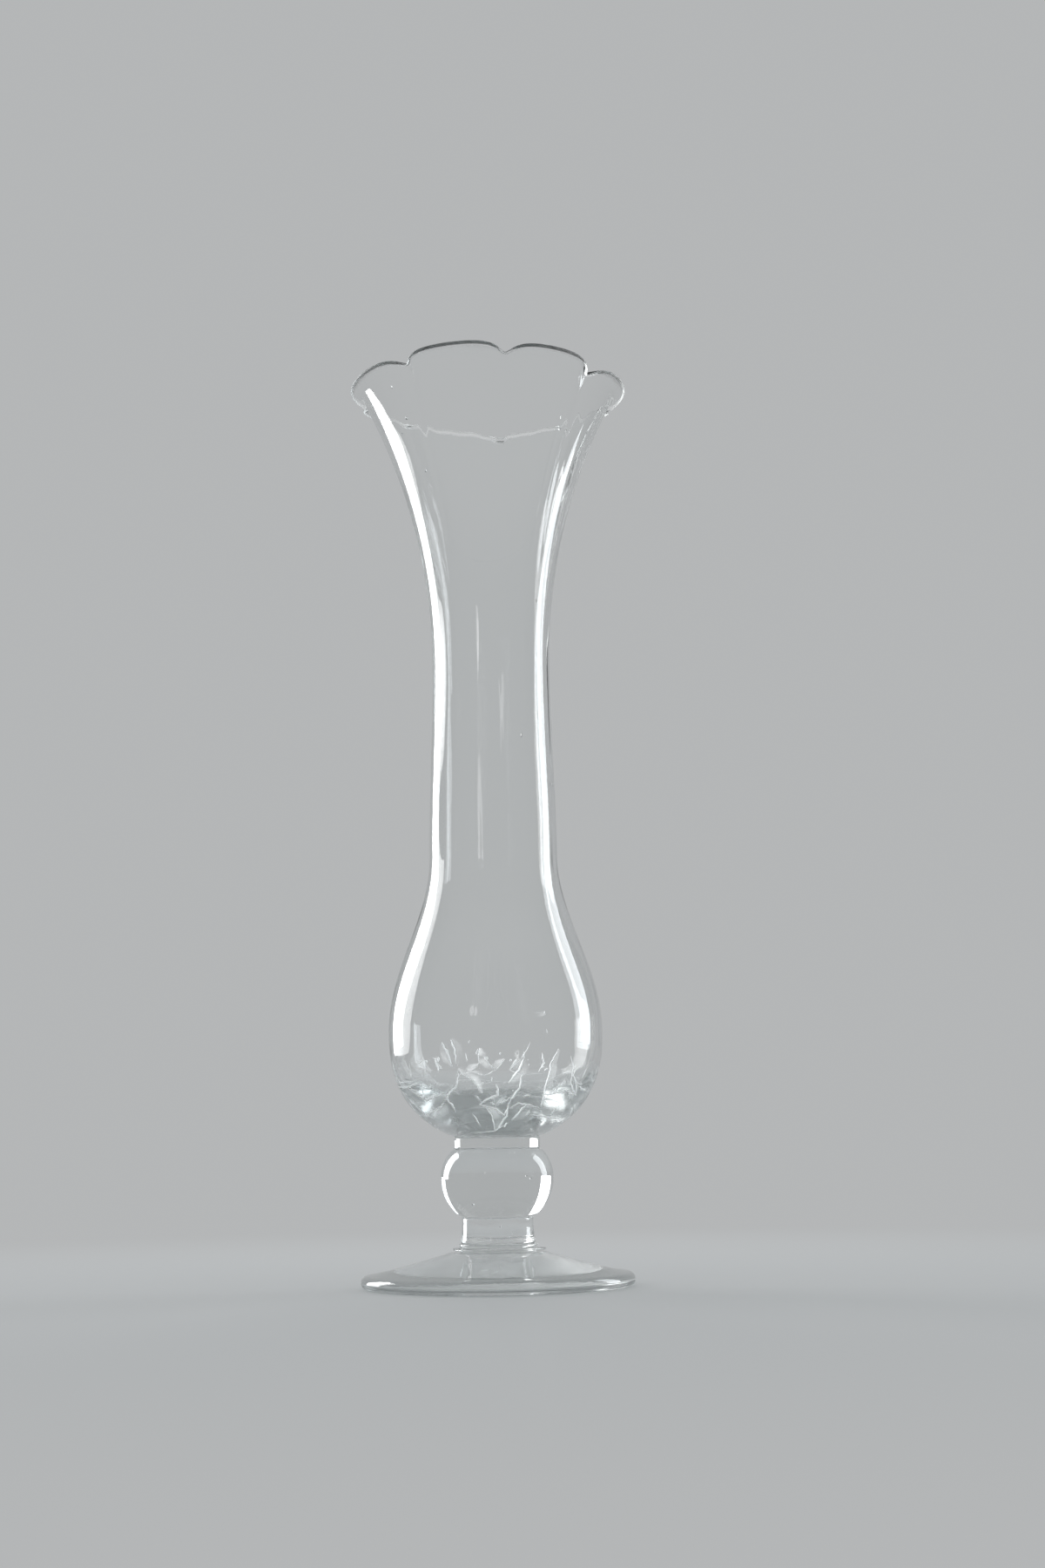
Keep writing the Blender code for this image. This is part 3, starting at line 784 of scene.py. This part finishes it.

# %% [markdown]
# ## The crackle: where the cracks run
#
# Dipped in water, the hot bulb cracks into cells a few millimetres wide, and at the top of the dip the cracks run
# out in short upright spikes. Cells like that are the dual of a triangulation. On a convex shape the triangles
# need no search: the convex hull of points strewn over the bulb is already made of them, and each hull edge gives
# a crack between the middles of its two triangles. The cracks on the front are listed one by one: each has its width
# in millimetres and then its stops, as pairs of a bearing and a height above the seat.

# %% Cracks listed one by one
FRONT_CRACKS = (
    (0.45, (-29, 19.4), (-26, 17.0), (-24, 14.4)),
    (0.38, (-24, 20.0), (-22, 17.8), (-22, 14.8)),
    (0.36, (-34, 15.0), (-33, 13.2)),
    (0.28, (-21, 13.8), (-21, 12.4), (-24, 10.0), (-29, 9.0), (-32, 7.8), (-35, 7.6)),
    (0.22, (-21, 13.8), (-18, 12.4), (-13, 11.4), (-9, 8.8)),
    (0.46, (0, 10.6), (1, 9.6), (1, 8.2), (-4, 7.6), (-11, 6.4)),
    (0.34, (-11, 6.4), (0, 5.4), (6, 4.0), (7, 5.4)),
    (0.50, (15, 15.8), (13, 13.4), (7, 10.8)),
    (0.38, (15, 13.0), (14, 11.6), (14, 9.8), (11, 8.2), (8, 6.6)),
    (0.36, (8, 6.6), (8, 4.0), (1, 1.4)),
    (0.32, (20, 6.4), (17, 4.8), (12, 3.2)),
    (0.26, (9, 5.6), (14, 6.6), (20, 6.4), (31, 5.6)),
    (0.30, (35, 17.8), (31, 14.8), (31, 12.4), (30, 9.8), (31, 6.0)),
    (0.32, (44, 16.4), (47, 14.2), (48, 11.0), (53, 9.2), (60, 8.2)),
    (0.26, (51, 14.2), (49, 12.4), (55, 10.4), (58, 8.8)),
    (0.26, (60, 14.0), (58, 11.8)),
    (0.32, (-85, 15.2), (-86, 11.0), (-64, 10.4), (-47, 11.4)),
    (0.26, (-60, 9.6), (-50, 7.6), (-38, 9.0)),
    (0.32, (-86, 11.0), (-73, 9.0), (-65, 6.0), (-64, 4.6)),
    (0.26, (-64, 4.6), (-45, 5.6), (-35, 7.0)),
    (0.32, (9, 2.4), (-2, 0.9), (-33, 0.7)),
    (0.24, (-7, 5.8), (-3, 3.8), (-2, 1.2)),
    (0.36, (25, 17.0), (27, 14.8), (24, 13.0)),
    (0.22, (-47, 11.4), (-52, 7.6)),
    (0.24, (43, 11.6), (39, 9.8), (37, 8.4)),
    (0.26, (60, 8.2), (47, 9.2), (37, 8.4), (29, 8.4)),
    (0.26, (25, 4.2), (41, 3.8), (66, 3.2)),
    (0.36, (23, 4.0), (24, 5.2)),
    (0.26, (15, 17.2), (15, 15.6)),
    (0.26, (-9, 17.9), (-10.5, 16.7)),
    (0.18, (-13.5, 19.8), (-14, 19.1)),
    (0.44, (29.5, 13.8), (27.5, 13.1)),
    (0.34, (-32, 16.5), (-32.5, 15.4)),
    (0.26, (-46.5, 15.3), (-42, 15.9)),
    (0.34, (-2.5, 12.0), (-2.5, 11.2)),
    (0.38, (-51, 7.4), (-42, 8.1)),
    (0.24, (46, 5.5), (45, 4.4)),
    (0.40, (9.5, 2.7), (7, 1.7)),
    (0.34, (17, 7.9), (21, 8.3)),
    (0.28, (-4, 6.8), (-0.5, 6.4)),
    (0.18, (-16, 17.1), (-15.5, 15.3)),
    (0.20, (27.5, 21.9), (28, 21.0)),
    (0.20, (26.5, 25.7), (27, 24.9)),
    (0.22, (-53.5, 26.5), (-50.5, 27.1)),
)

# %% Points and directions on the bulb
RINGS, CRACKED_SHOULDER = 120, 16
NUDGE = 0.2
bulb_rings = oval(BULB_RADIUS, OUTER_DEPTH, SEAT_TURN, RINGS)[::-1]
bulb_rings += [(outer_radius(h), h) for h in steps(RINGS, BULB_HEIGHT, BULB_HEIGHT + CRACKED_SHOULDER)[1:]]
print("the bulb is measured at", len(bulb_rings), "heights")


def vessel_radius(height):
    """Radius of the outside at any height from the seat to the lip's turn."""
    if height >= BULB_HEIGHT:
        return outer_radius(height)
    for (r0, h0), (r1, h1) in zip(bulb_rings, bulb_rings[1:]):
        if height <= h1:
            return blend(r0, r1, max(0.0, (height - h0) / (h1 - h0)))


def wall_spot(bearing, height):
    """The point on the outside of the vessel, and the direction straight into its wall."""
    angle = radians(bearing)
    slope = (vessel_radius(height + NUDGE) - vessel_radius(height - NUDGE)) / (2 * NUDGE)
    radius = vessel_radius(height)
    spot = Vector((radius * sin(angle), -radius * cos(angle), height + VESSEL_SEAT))
    inward = Vector((-sin(angle), cos(angle), slope)).normalized()
    return spot, inward


def bearing_and_height(point):
    """Where a point inside the bulb lies when it is thrown out onto the bulb from the bulb's middle."""
    steepness = atan2(point.z - BULB_HEIGHT, hypot(point.x, point.y))
    last = len(bulb_rings) - 2
    for i, ((r0, h0), (r1, h1)) in enumerate(zip(bulb_rings, bulb_rings[1:])):
        low, high = atan2(h0 - BULB_HEIGHT, r0), atan2(h1 - BULB_HEIGHT, r1)
        if steepness <= high or i == last:
            return degrees(atan2(point.x, -point.y)), blend(h0, h1, held((steepness - low) / (high - low)))


# %% The cells of the crackle
CELL_COUNT = 120
GOLDEN_TURN = 137.508
STRAY_BEARING, STRAY_HEIGHT = 12, 1.6
chance = Random(41)

strewn = bmesh.new()
area_up_to = []
for (r0, h0), (r1, h1) in zip(bulb_rings, bulb_rings[1:]):
    area_up_to.append((area_up_to[-1] if area_up_to else 0.0) + (r0 + r1) / 2 * hypot(r1 - r0, h1 - h0))
for i in range(CELL_COUNT):
    wanted = (i + 0.5) / CELL_COUNT * area_up_to[-1]
    ring = next(k for k, total in enumerate(area_up_to) if total >= wanted)
    height = bulb_rings[ring][1] + chance.uniform(-STRAY_HEIGHT, STRAY_HEIGHT)
    bearing = i * GOLDEN_TURN + chance.uniform(-STRAY_BEARING, STRAY_BEARING)
    spot, inward = wall_spot(bearing, max(height, 0.1))
    strewn.verts.new(spot - Vector((0, 0, VESSEL_SEAT)))
bmesh.ops.convex_hull(strewn, input=strewn.verts)
cell_cracks = [
    [bearing_and_height(face.calc_center_median()) for face in edge.link_faces]
    for edge in strewn.edges if len(edge.link_faces) == 2
]
strewn.free()
print(len(cell_cracks), "edges between the cells")

# %% Turning cracks into paths
DIP_HEIGHT, DIP_WAVES = 13.0, ((1.3, 2, 1), (0.9, 5, 0), (0.7, 11, 2))
FRONT_HALF = 64
# The rule adds few cracks on the front, where they are listed one by one
SHARE_ON_FRONT, SHARE_BEHIND = 0.10, 0.74
CELL_CRACK_WIDTHS, SPIKE_WIDTHS = (0.20, 0.42), (0.20, 0.45)
SPIKES_BELOW, SPIKES_ABOVE = 2.6, 1.5
SPIKE_LEAN, SPIKE_RISES = 7, (2.0, 6.0)


def dip_border(bearing):
    """The uneven upper border of the crackle at a bearing."""
    return DIP_HEIGHT + waves(radians(bearing), DIP_WAVES)


def wandering(stops, spaces, waver):
    """A crack's path through its stops, with points between them that wander a little."""
    path = []
    for (b0, h0), (b1, h1) in zip(stops, stops[1:]):
        b1 = b0 + (b1 - b0 + 180) % 360 - 180
        for t in steps(spaces)[:-1]:
            free = sin(pi * t) * waver
            degrees_per_mm = degrees(1 / max(vessel_radius(blend(h0, h1, t)), 8))
            path.append((
                blend(b0, b1, t) + chance.uniform(-free, free) * degrees_per_mm,
                blend(h0, h1, t) + chance.uniform(-free, free),
            ))
    return path + [stops[-1]]


cracks = [(width, wandering(stops, 4, 0.14)) for width, *stops in FRONT_CRACKS]
for (b0, h0), (b1, h1) in cell_cracks:
    border = dip_border(b0)
    on_front = abs((b0 + 180) % 360 - 180) < FRONT_HALF
    if (h0 + h1) / 2 < border and chance.random() < (SHARE_ON_FRONT if on_front else SHARE_BEHIND):
        cracks.append((chance.uniform(*CELL_CRACK_WIDTHS), wandering(((b0, h0), (b1, h1)), 5, 0.3)))
    if border - SPIKES_BELOW < h0 < border + SPIKES_ABOVE and not on_front:
        tip = (b0 + chance.uniform(-SPIKE_LEAN, SPIKE_LEAN), h0 + chance.uniform(*SPIKE_RISES))
        cracks.append((chance.uniform(*SPIKE_WIDTHS), wandering(((b0, h0), tip), 4, 0.12)))
print(len(cracks), "cracks,", len(FRONT_CRACKS), "of them laid by hand")

# %% [markdown]
# ## The crackle: threads and facets
#
# A crack starts just under the outer skin. Its crushed mouth shines as a white thread, and behind some threads a
# thin pane of the crack shows as a pale facet, oblique in the wall. Both are wedges swept along the crack's path,
# so one tree makes them. A thread is as wide as it is deep, and its sharp ridge points out of the wall, so that
# both its flanks face the room. A facet is a deep and very thin wedge that slants far to one side. The wedge has
# three sides, which keeps hundreds of cracks light. Free curve normals point each wedge the way that one
# attribute says, and another attribute tapers it.

# %% The crack tree
cracker, cracker_in, cracker_inputs = new_group("crack_wedges", "GeometryNodeTree", (
    ("Paths", "NodeSocketGeometry", None),
    ("Depth", "NodeSocketFloat", 1.0 * MM),
    ("Width", "NodeSocketFloat", 1.0 * MM),
    ("Crack", "NodeSocketMaterial", None),
))
dive = add(cracker, "GeometryNodeInputNamedAttribute", {"Name": "dive"}, data_type="FLOAT_VECTOR").outputs[0]
size = add(cracker, "GeometryNodeInputNamedAttribute", {"Name": "size"}, data_type="FLOAT").outputs[0]
lines = add(cracker, "GeometryNodeMeshToCurve", {"Mesh": cracker_in["Paths"]}).outputs[0]
aimed = add(cracker, "GeometryNodeSetCurveNormal", {"Curve": lines, "Normal": dive}, mode="FREE").outputs[0]
triangle = add(cracker, "GeometryNodeCurvePrimitiveCircle", {"Resolution": 3, "Radius": 1.0}).outputs[0]
# The triangle is 1.5 radii deep and the root of 3 radii wide, with its wide side half a radius before its middle
wedge_scale = add(cracker, "ShaderNodeCombineXYZ", {
    "X": maths(cracker, "DIVIDE", cracker_in["Depth"], 1.5),
    "Y": maths(cracker, "DIVIDE", cracker_in["Width"], 3**0.5),
    "Z": 1.0,
}).outputs[0]
mouth_on_path = add(cracker, "ShaderNodeCombineXYZ", {
    "X": maths(cracker, "DIVIDE", cracker_in["Depth"], 3),
}).outputs[0]
wedge = add(cracker, "GeometryNodeTransform", {
    "Geometry": triangle, "Translation": mouth_on_path, "Scale": wedge_scale,
}).outputs[0]
swept = add(cracker, "GeometryNodeCurveToMesh", {
    "Curve": aimed, "Profile Curve": wedge, "Scale": size, "Fill Caps": True,
}).outputs[0]
end_shape(cracker, swept, cracker_in["Crack"], smooth=False)
print("the crack tree has", len(cracker.nodes), "nodes")

# %% [markdown]
# ## The look of the cracks
#
# The crushed mouth is white: a rough mirror throws light back and a translucent share lets it through, so it shines
# whichever side the lamps are on. The facet is only a veil, mostly see-through: a thin white film that catches the
# light in front, mixed with a thin glow for the light behind. A noise makes stretches of both stronger and weaker,
# as they are on the real bulb.

# %% Materials of the cracks
THREAD_LIT_THROUGH, FACET_LIT_THROUGH = 0.72, 0.75
CRUSHED_WHITE, THREAD_GLOW = (0.97, 0.98, 0.99, 1), (0.98, 0.985, 0.99, 1)
FILM_WHITE = (0.96, 0.97, 0.98, 1)


def crack_noise(tree, scale, low, high):
    """Patches along a crack, from low to high."""
    return ranged(tree, noise_field(tree, object_place(tree), scale, 2.0), 0.38, 0.62, low, high)


thread_white = bpy.data.materials.new("crack_thread")
tree = blank_tree(thread_white)
crushed = add(tree, "ShaderNodeBsdfPrincipled", {
    "Base Color": CRUSHED_WHITE, "Metallic": 1.0, "Roughness": crack_noise(tree, 400.0, 0.3, 0.55),
}).outputs[0]
lit_through = add(tree, "ShaderNodeBsdfTranslucent", {"Color": THREAD_GLOW}).outputs[0]
thread = mixed(tree, THREAD_LIT_THROUGH, crushed, lit_through)
add(tree, "ShaderNodeOutputMaterial", {"Surface": thread})

facet_veil = bpy.data.materials.new("crack_facet")
tree = blank_tree(facet_veil)
thinness = crack_noise(tree, 220.0, 0.01, 0.13)
film = add(tree, "ShaderNodeBsdfPrincipled", {
    "Base Color": FILM_WHITE, "Roughness": 0.35, "Alpha": thinness,
}).outputs[0]
nothing = add(tree, "ShaderNodeBsdfTransparent", {"Color": WHITE}).outputs[0]
glow = add(tree, "ShaderNodeBsdfTranslucent", {"Color": CRUSHED_WHITE}).outputs[0]
both_ways = mixed(tree, FACET_LIT_THROUGH, film, mixed(tree, thinness, nothing, glow))
add(tree, "ShaderNodeOutputMaterial", {"Surface": both_ways})
print("crack materials:", thread_white.name, "and", facet_veil.name)

# %% Laying the cracks
SKIN = 0.14
LOWEST = 0.5
TIP_SIZE, TAPER_RATE = 0.3, 2.6
THREAD_SIZE, THREAD_SLANT = 1.2, 25
FACET_SHARE, FACET_SLANTS = 0.4, (58, 70)


def lay_cracks(name, chosen, depth, width, material, tip_out=False):
    """Sweeps a wedge along each chosen crack, a list of (scale, slant in degrees, path).

    With tip_out the wedge's sharp side points out of the wall, so that both its flanks face the room.
    """
    points, edges, dives, sizes = [], [], [], []
    for scale, slant, path in chosen:
        spots = [wall_spot(bearing, max(height, LOWEST)) for bearing, height in path]
        start, last = len(points), len(spots) - 1
        for i, (spot, inward) in enumerate(spots):
            along = spots[min(i + 1, last)][0] - spots[max(i - 1, 0)][0]
            sideways = along.cross(inward).normalized()
            slanting = inward * cos(radians(slant)) + sideways * sin(radians(slant))
            taper = min(1.0, TIP_SIZE + TAPER_RATE * min(i, last - i) / last)
            sizes.append(scale * taper * chance.uniform(0.8, 1.0))
            if tip_out:
                spot = spot + inward * depth * sizes[-1]
            dives.extend(-slanting if tip_out else slanting)
            points.append((spot + inward * SKIN) * MM)
        edges += [(start + i, start + i + 1) for i in range(last)]
    return apply_tree(
        name, points, edges, cracker, cracker_inputs, {"Depth": depth * MM, "Width": width * MM, "Crack": material},
        (("dive", "FLOAT_VECTOR", dives), ("size", "FLOAT", sizes)),
    )


threads = [(THREAD_SIZE * width, chance.uniform(-THREAD_SLANT, THREAD_SLANT), path) for width, path in cracks]
facets = [
    (chance.uniform(0.7, 1.2), chance.choice((-1, 1)) * chance.uniform(*FACET_SLANTS), path)
    for width, path in cracks if chance.random() < FACET_SHARE
]
crack_threads = lay_cracks("crackle_threads", threads, 1.1, 1.0, thread_white, tip_out=True)
crack_facets = lay_cracks("crackle_facets", facets, 2.4, 0.03, facet_veil)
print("threads:", triangles(crack_threads), "and facets:", triangles(crack_facets), "triangles")

# %% [markdown]
# ## Seeds and sparks
#
# Blown glass keeps a few small bubbles, called seeds. There are some in the trumpet's wall, three in the knop and
# two in the stem collar. Their index is that of air inside glass, so they glint with a bright rim. Between the
# cracks the dipped wall also has small crushed specks, which spark as white as the threads. Both repeat, so one
# tree sets a small sphere on each point with its own size and realizes the lot.

# %% The seed tree
seeder, seeder_in, seeder_inputs = new_group("seeds_in_glass", "GeometryNodeTree", (
    ("Spots", "NodeSocketGeometry", None),
    ("Segments", "NodeSocketInt", 12),
    ("Rings", "NodeSocketInt", 8),
    ("Filling", "NodeSocketMaterial", None),
))
bubble = add(seeder, "GeometryNodeMeshUVSphere", {
    "Segments": seeder_in["Segments"], "Rings": seeder_in["Rings"], "Radius": 1.0,
}).outputs[0]
girth = add(seeder, "GeometryNodeInputNamedAttribute", {"Name": "girth"}, data_type="FLOAT_VECTOR").outputs[0]
placed = add(seeder, "GeometryNodeInstanceOnPoints", {
    "Points": seeder_in["Spots"], "Instance": bubble, "Scale": girth,
}).outputs[0]
end_shape(seeder, placed, seeder_in["Filling"], smooth=True)
print("the seed tree has", len(seeder.nodes), "nodes")

# %% The air in a seed
seed_air = bpy.data.materials.new("seed_air")
tree = blank_tree(seed_air)
bubble_skin = add(tree, "ShaderNodeBsdfPrincipled", {
    "Base Color": WHITE, "Roughness": crack_noise(tree, 900.0, 0.0, 0.08), "IOR": 0.667, "Transmission Weight": 1.0,
}).outputs[0]
add(tree, "ShaderNodeOutputMaterial", {"Surface": bubble_skin})
print("seeds are filled with", seed_air.name)

# %% Laying the seeds
# Seeds of the solid stem: x, y and z of the middle, half width and half height, in millimetres
STEM_SEEDS = (
    (-4.6, -6.0, 18.4, 0.28, 0.34),
    (5.6, -7.5, 23.4, 0.20, 0.20),
    (6.4, -7.0, 23.0, 0.24, 0.16),
    (0.5, -5.2, 12.9, 0.22, 0.30),
    (2.9, -6.0, 11.6, 0.12, 0.25),
)
# Seeds and sparks of the wall: bearing in degrees, height above the seat, half width and half height, in mm
WALL_SEEDS = (
    (-52.0, 163.5, 0.20, 0.40), (-49.5, 156.7, 0.34, 0.34), (-57.0, 154.3, 0.22, 0.22), (-46.0, 145.3, 0.25, 0.45),
    (-59.0, 124.7, 0.22, 0.30), (49.5, 116.7, 0.25, 0.35), (29.5, 86.1, 0.16, 0.55), (75.5, 76.5, 0.28, 0.35),
    (43.5, 155.9, 0.16, 0.50), (-5.0, 15.9, 0.42, 0.38), (-40.5, 15.6, 0.36, 0.32), (8.0, 15.4, 0.24, 0.26),
    (2.5, 16.8, 0.20, 0.26), (-7.5, 10.8, 0.20, 0.20), (-41.5, 10.8, 0.20, 0.18), (-8.5, 8.9, 0.20, 0.22),
    (-38.0, 8.9, 0.18, 0.18), (10.0, 9.1, 0.14, 0.16), (35.5, 6.6, 0.16, 0.12), (41.0, 2.7, 0.18, 0.14),
    (37.5, 1.2, 0.22, 0.18), (47.5, 1.3, 0.18, 0.14), (-2.0, 14.2, 0.10, 0.30), (18.0, 14.5, 0.12, 0.12),
)
SEED_DEPTH, SPARK_DEPTH = 0.7, 0.25
# Below this height above the seat they are sparks
CRACKLE_REACH = 20.0
SPARKS_BEHIND = 40

seed_spots = [Vector(seed[:3]) * MM for seed in STEM_SEEDS]
girths = [(seed[3], seed[3], seed[4]) for seed in STEM_SEEDS]
spark_spots, spark_girths = [], []
for bearing, height, half_width, half_height in WALL_SEEDS:
    spot, inward = wall_spot(bearing, height)
    if height > CRACKLE_REACH:
        seed_spots.append((spot + inward * SEED_DEPTH) * MM)
        girths.append((half_width, half_width, half_height))
    else:
        spark_spots.append((spot + inward * (SPARK_DEPTH + half_width)) * MM)
        spark_girths.append((half_width, half_width, half_height))
for i in range(SPARKS_BEHIND):
    bearing = chance.uniform(FRONT_HALF, 360 - FRONT_HALF)
    spot, inward = wall_spot(bearing, chance.uniform(0.06, 1.15) * dip_border(bearing) + 0.6)
    radius = chance.uniform(0.10, 0.24)
    spark_spots.append((spot + inward * (SPARK_DEPTH + radius)) * MM)
    spark_girths.append((radius, radius, radius * chance.uniform(0.8, 1.3)))


def lay_seeds(name, spots, girths, segments, rings, material):
    return apply_tree(
        name, spots, [], seeder, seeder_inputs, {"Segments": segments, "Rings": rings, "Filling": material},
        (("girth", "FLOAT_VECTOR", [half * MM for girth in girths for half in girth]),),
    )


seeds = lay_seeds("glass_seeds", seed_spots, girths, 12, 8, seed_air)
print("seeds:", len(seed_spots), "with", triangles(seeds), "triangles")
sparks = lay_seeds("crackle_sparks", spark_spots, spark_girths, 8, 5, thread_white)
print("sparks:", len(spark_spots), "with", triangles(sparks), "triangles")

# %% [markdown]
# ## Floor and backdrop
#
# The vase stands on a plain pale floor, matt but for a trace of gloss. Far from the vase the floor fades into the
# colour of the backdrop, which is the world, so that no horizon cuts across the glass. The backdrop is pale grey
# rather than white, because the brightest parts of clear glass are its reflections, and they need something to
# stand out from. High overhead it is a little lighter, as a studio's ceiling is.

# %% Floor
BACKDROP, OVERHEAD = (0.46, 0.47, 0.475, 1), (0.62, 0.625, 0.63, 1)
OVERHEAD_FROM, OVERHEAD_TO = 0.5, 0.85
FLOOR_GREY, FLOOR_RADIUS = (0.42, 0.43, 0.435, 1), 0.6
FLOOR_GLOSS, FLOOR_ROUGHNESS = 0.012, 0.28
FADE_FROM, FADE_TO = 0.08, 0.34

floor_mesh = bpy.data.meshes.new("floor")
floor_shape = bmesh.new()
bmesh.ops.create_circle(floor_shape, cap_ends=True, segments=96, radius=FLOOR_RADIUS)
floor_shape.to_mesh(floor_mesh)
floor_shape.free()
floor_stage = bpy.data.objects.new("floor", floor_mesh)
bpy.context.scene.collection.objects.link(floor_stage)

floor_paint = bpy.data.materials.new("floor_paint")
tree = blank_tree(floor_paint)
distance = add(tree, "ShaderNodeVectorMath", {0: object_place(tree)}, operation="LENGTH").outputs["Value"]
far = ranged(tree, distance, FADE_FROM, FADE_TO, interpolation_type="SMOOTHSTEP")
matt = add(tree, "ShaderNodeBsdfDiffuse", {"Color": FLOOR_GREY}).outputs[0]
gloss = add(tree, "ShaderNodeBsdfGlossy", {"Color": WHITE, "Roughness": FLOOR_ROUGHNESS}).outputs[0]
faded = add(tree, "ShaderNodeEmission", {"Color": BACKDROP, "Strength": 1.0}).outputs[0]
both = mixed(tree, far, mixed(tree, FLOOR_GLOSS, matt, gloss), faded)
add(tree, "ShaderNodeOutputMaterial", {"Surface": both})
floor_mesh.materials.append(floor_paint)
print("the floor is", 2 * FLOOR_RADIUS, "m across")

# %% World
world = bpy.data.worlds.new("backdrop")
bpy.context.scene.world = world
tree = blank_tree(world)
way = tree.nodes.new("ShaderNodeTexCoord").outputs["Generated"]
rise = add(tree, "ShaderNodeSeparateXYZ", {0: way}).outputs["Z"]
overhead = ranged(tree, rise, OVERHEAD_FROM, OVERHEAD_TO, interpolation_type="SMOOTHSTEP")
sky = mixed_colour(tree, overhead, BACKDROP, OVERHEAD)
backdrop = add(tree, "ShaderNodeBackground", {"Color": sky, "Strength": 1.0}).outputs[0]
add(tree, "ShaderNodeOutputWorld", {"Surface": backdrop})
print("backdrop", BACKDROP[:3], "and overhead", OVERHEAD[:3])

# %% [markdown]
# ## Lamps
#
# The bands of light in the walls say where the lamps stood. A hollow tube bends what is 20 to 45 degrees to one
# side of the backdrop into its edge, and the solid knop bends what is beyond 43 degrees into its crescents. So a
# large softbox stands behind on the left, a smaller and cooler one behind on the right, both outside the view. They
# are 3.5 m away, so that foot and lip see them at the same bearings, and they reach from the table's level to more
# than 2 m up. A small oval window of light on the camera's left draws the thin upright streak. The top light is
# for floor and foot and is hidden from the glass's own rays, and the back light falls on the crackle alone. All are
# area lamps that the camera doesn't see directly, though the glass sees the two softboxes and the window.

# %% Softboxes
LAMPS_AIM = Vector((0, 0, 0.1))


def softbox(name, bearing, distance, middle, wide, tall, radiance, colour=(1.0, 1.0, 1.0), shape="RECTANGLE"):
    """A lamp that faces the vase. bearing is measured from straight behind the vase, growing to the right."""
    data = bpy.data.lights.new(name, "AREA")
    data.shape = shape
    data.size, data.size_y = wide, tall
    area = wide * tall * (pi / 4 if shape == "ELLIPSE" else 1)
    data.energy = radiance * pi * area
    data.color = colour
    lamp = bpy.data.objects.new(name, data)
    angle = radians(bearing)
    place = Vector((distance * sin(angle), distance * cos(angle), middle))
    lamp.location = place
    lamp.rotation_euler = (LAMPS_AIM - place).to_track_quat("-Z", "Y").to_euler()
    lamp.visible_camera = False
    bpy.context.scene.collection.objects.link(lamp)
    return lamp


softbox("left_softbox", -50.5, 3.5, 1.16, 1.67, 2.60, 7.5)
softbox("right_softbox", 67, 3.5, 1.20, 1.25, 2.65, 5.6, (0.92, 0.97, 1.0))
softbox("window", -155, 1.0, 0.30, 0.08, 0.13, 3.0, shape="ELLIPSE")
top_light = softbox("top_softbox", 0, 1.0, 0.95, 0.9, 0.6, 4.2)
back_light = softbox("back_softbox", 0, 1.2, 0.22, 1.1, 0.4, 20.0)
for hidden_light in (top_light, back_light):
    hidden_light.visible_transmission = False
    hidden_light.visible_glossy = False

crackle = bpy.data.collections.new("crackle")
for piece in (crack_threads, crack_facets, sparks):
    crackle.objects.link(piece)
back_light.light_linking.receiver_collection = crackle

# %% [markdown]
# ## Rendering choices
#
# A ray through both walls, the knop and a few cracks is bent many times, so the bounce limits go up. A few rays
# are piped along the wall and leave through a softbox, and each would be a white speck, so a clamp holds every
# bent ray to three times white. The view transform is Standard, so that a colour comes out as it is written.

# %% Bounces and view
scene = bpy.context.scene
scene.cycles.max_bounces = 32
scene.cycles.transmission_bounces = 32
scene.cycles.glossy_bounces = 24
scene.cycles.transparent_max_bounces = 32
scene.cycles.sample_clamp_indirect = 3.0
scene.view_settings.view_transform = "Standard"

# %% [markdown]
# ## Telling the frame what each piece is
#
# Each gather stands for one CAD node, which is hidden. The cracks, sparks and seeds are extra pieces inside the
# glass. Nothing on a vase moves, so everything rides on the one body.

# %% Pieces and bodies
for piece, node, slot in (
    (foot, "foot", "foot_glass"),
    (foot_wafer, "foot_wafer", "stem_glass"),
    (stem_collar, "stem_collar", "stem_glass"),
    (knop, "knop", "stem_glass"),
    (upper_collar, "upper_collar", "stem_glass"),
    (vessel, "vessel", "vessel_glass"),
):
    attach(piece, "root")
    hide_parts(node)

for piece, slot in (
    (crack_threads, "vessel_glass"), (crack_facets, "vessel_glass"), (sparks, "vessel_glass"), (seeds, "stem_glass"),
):
    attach(piece, "root")
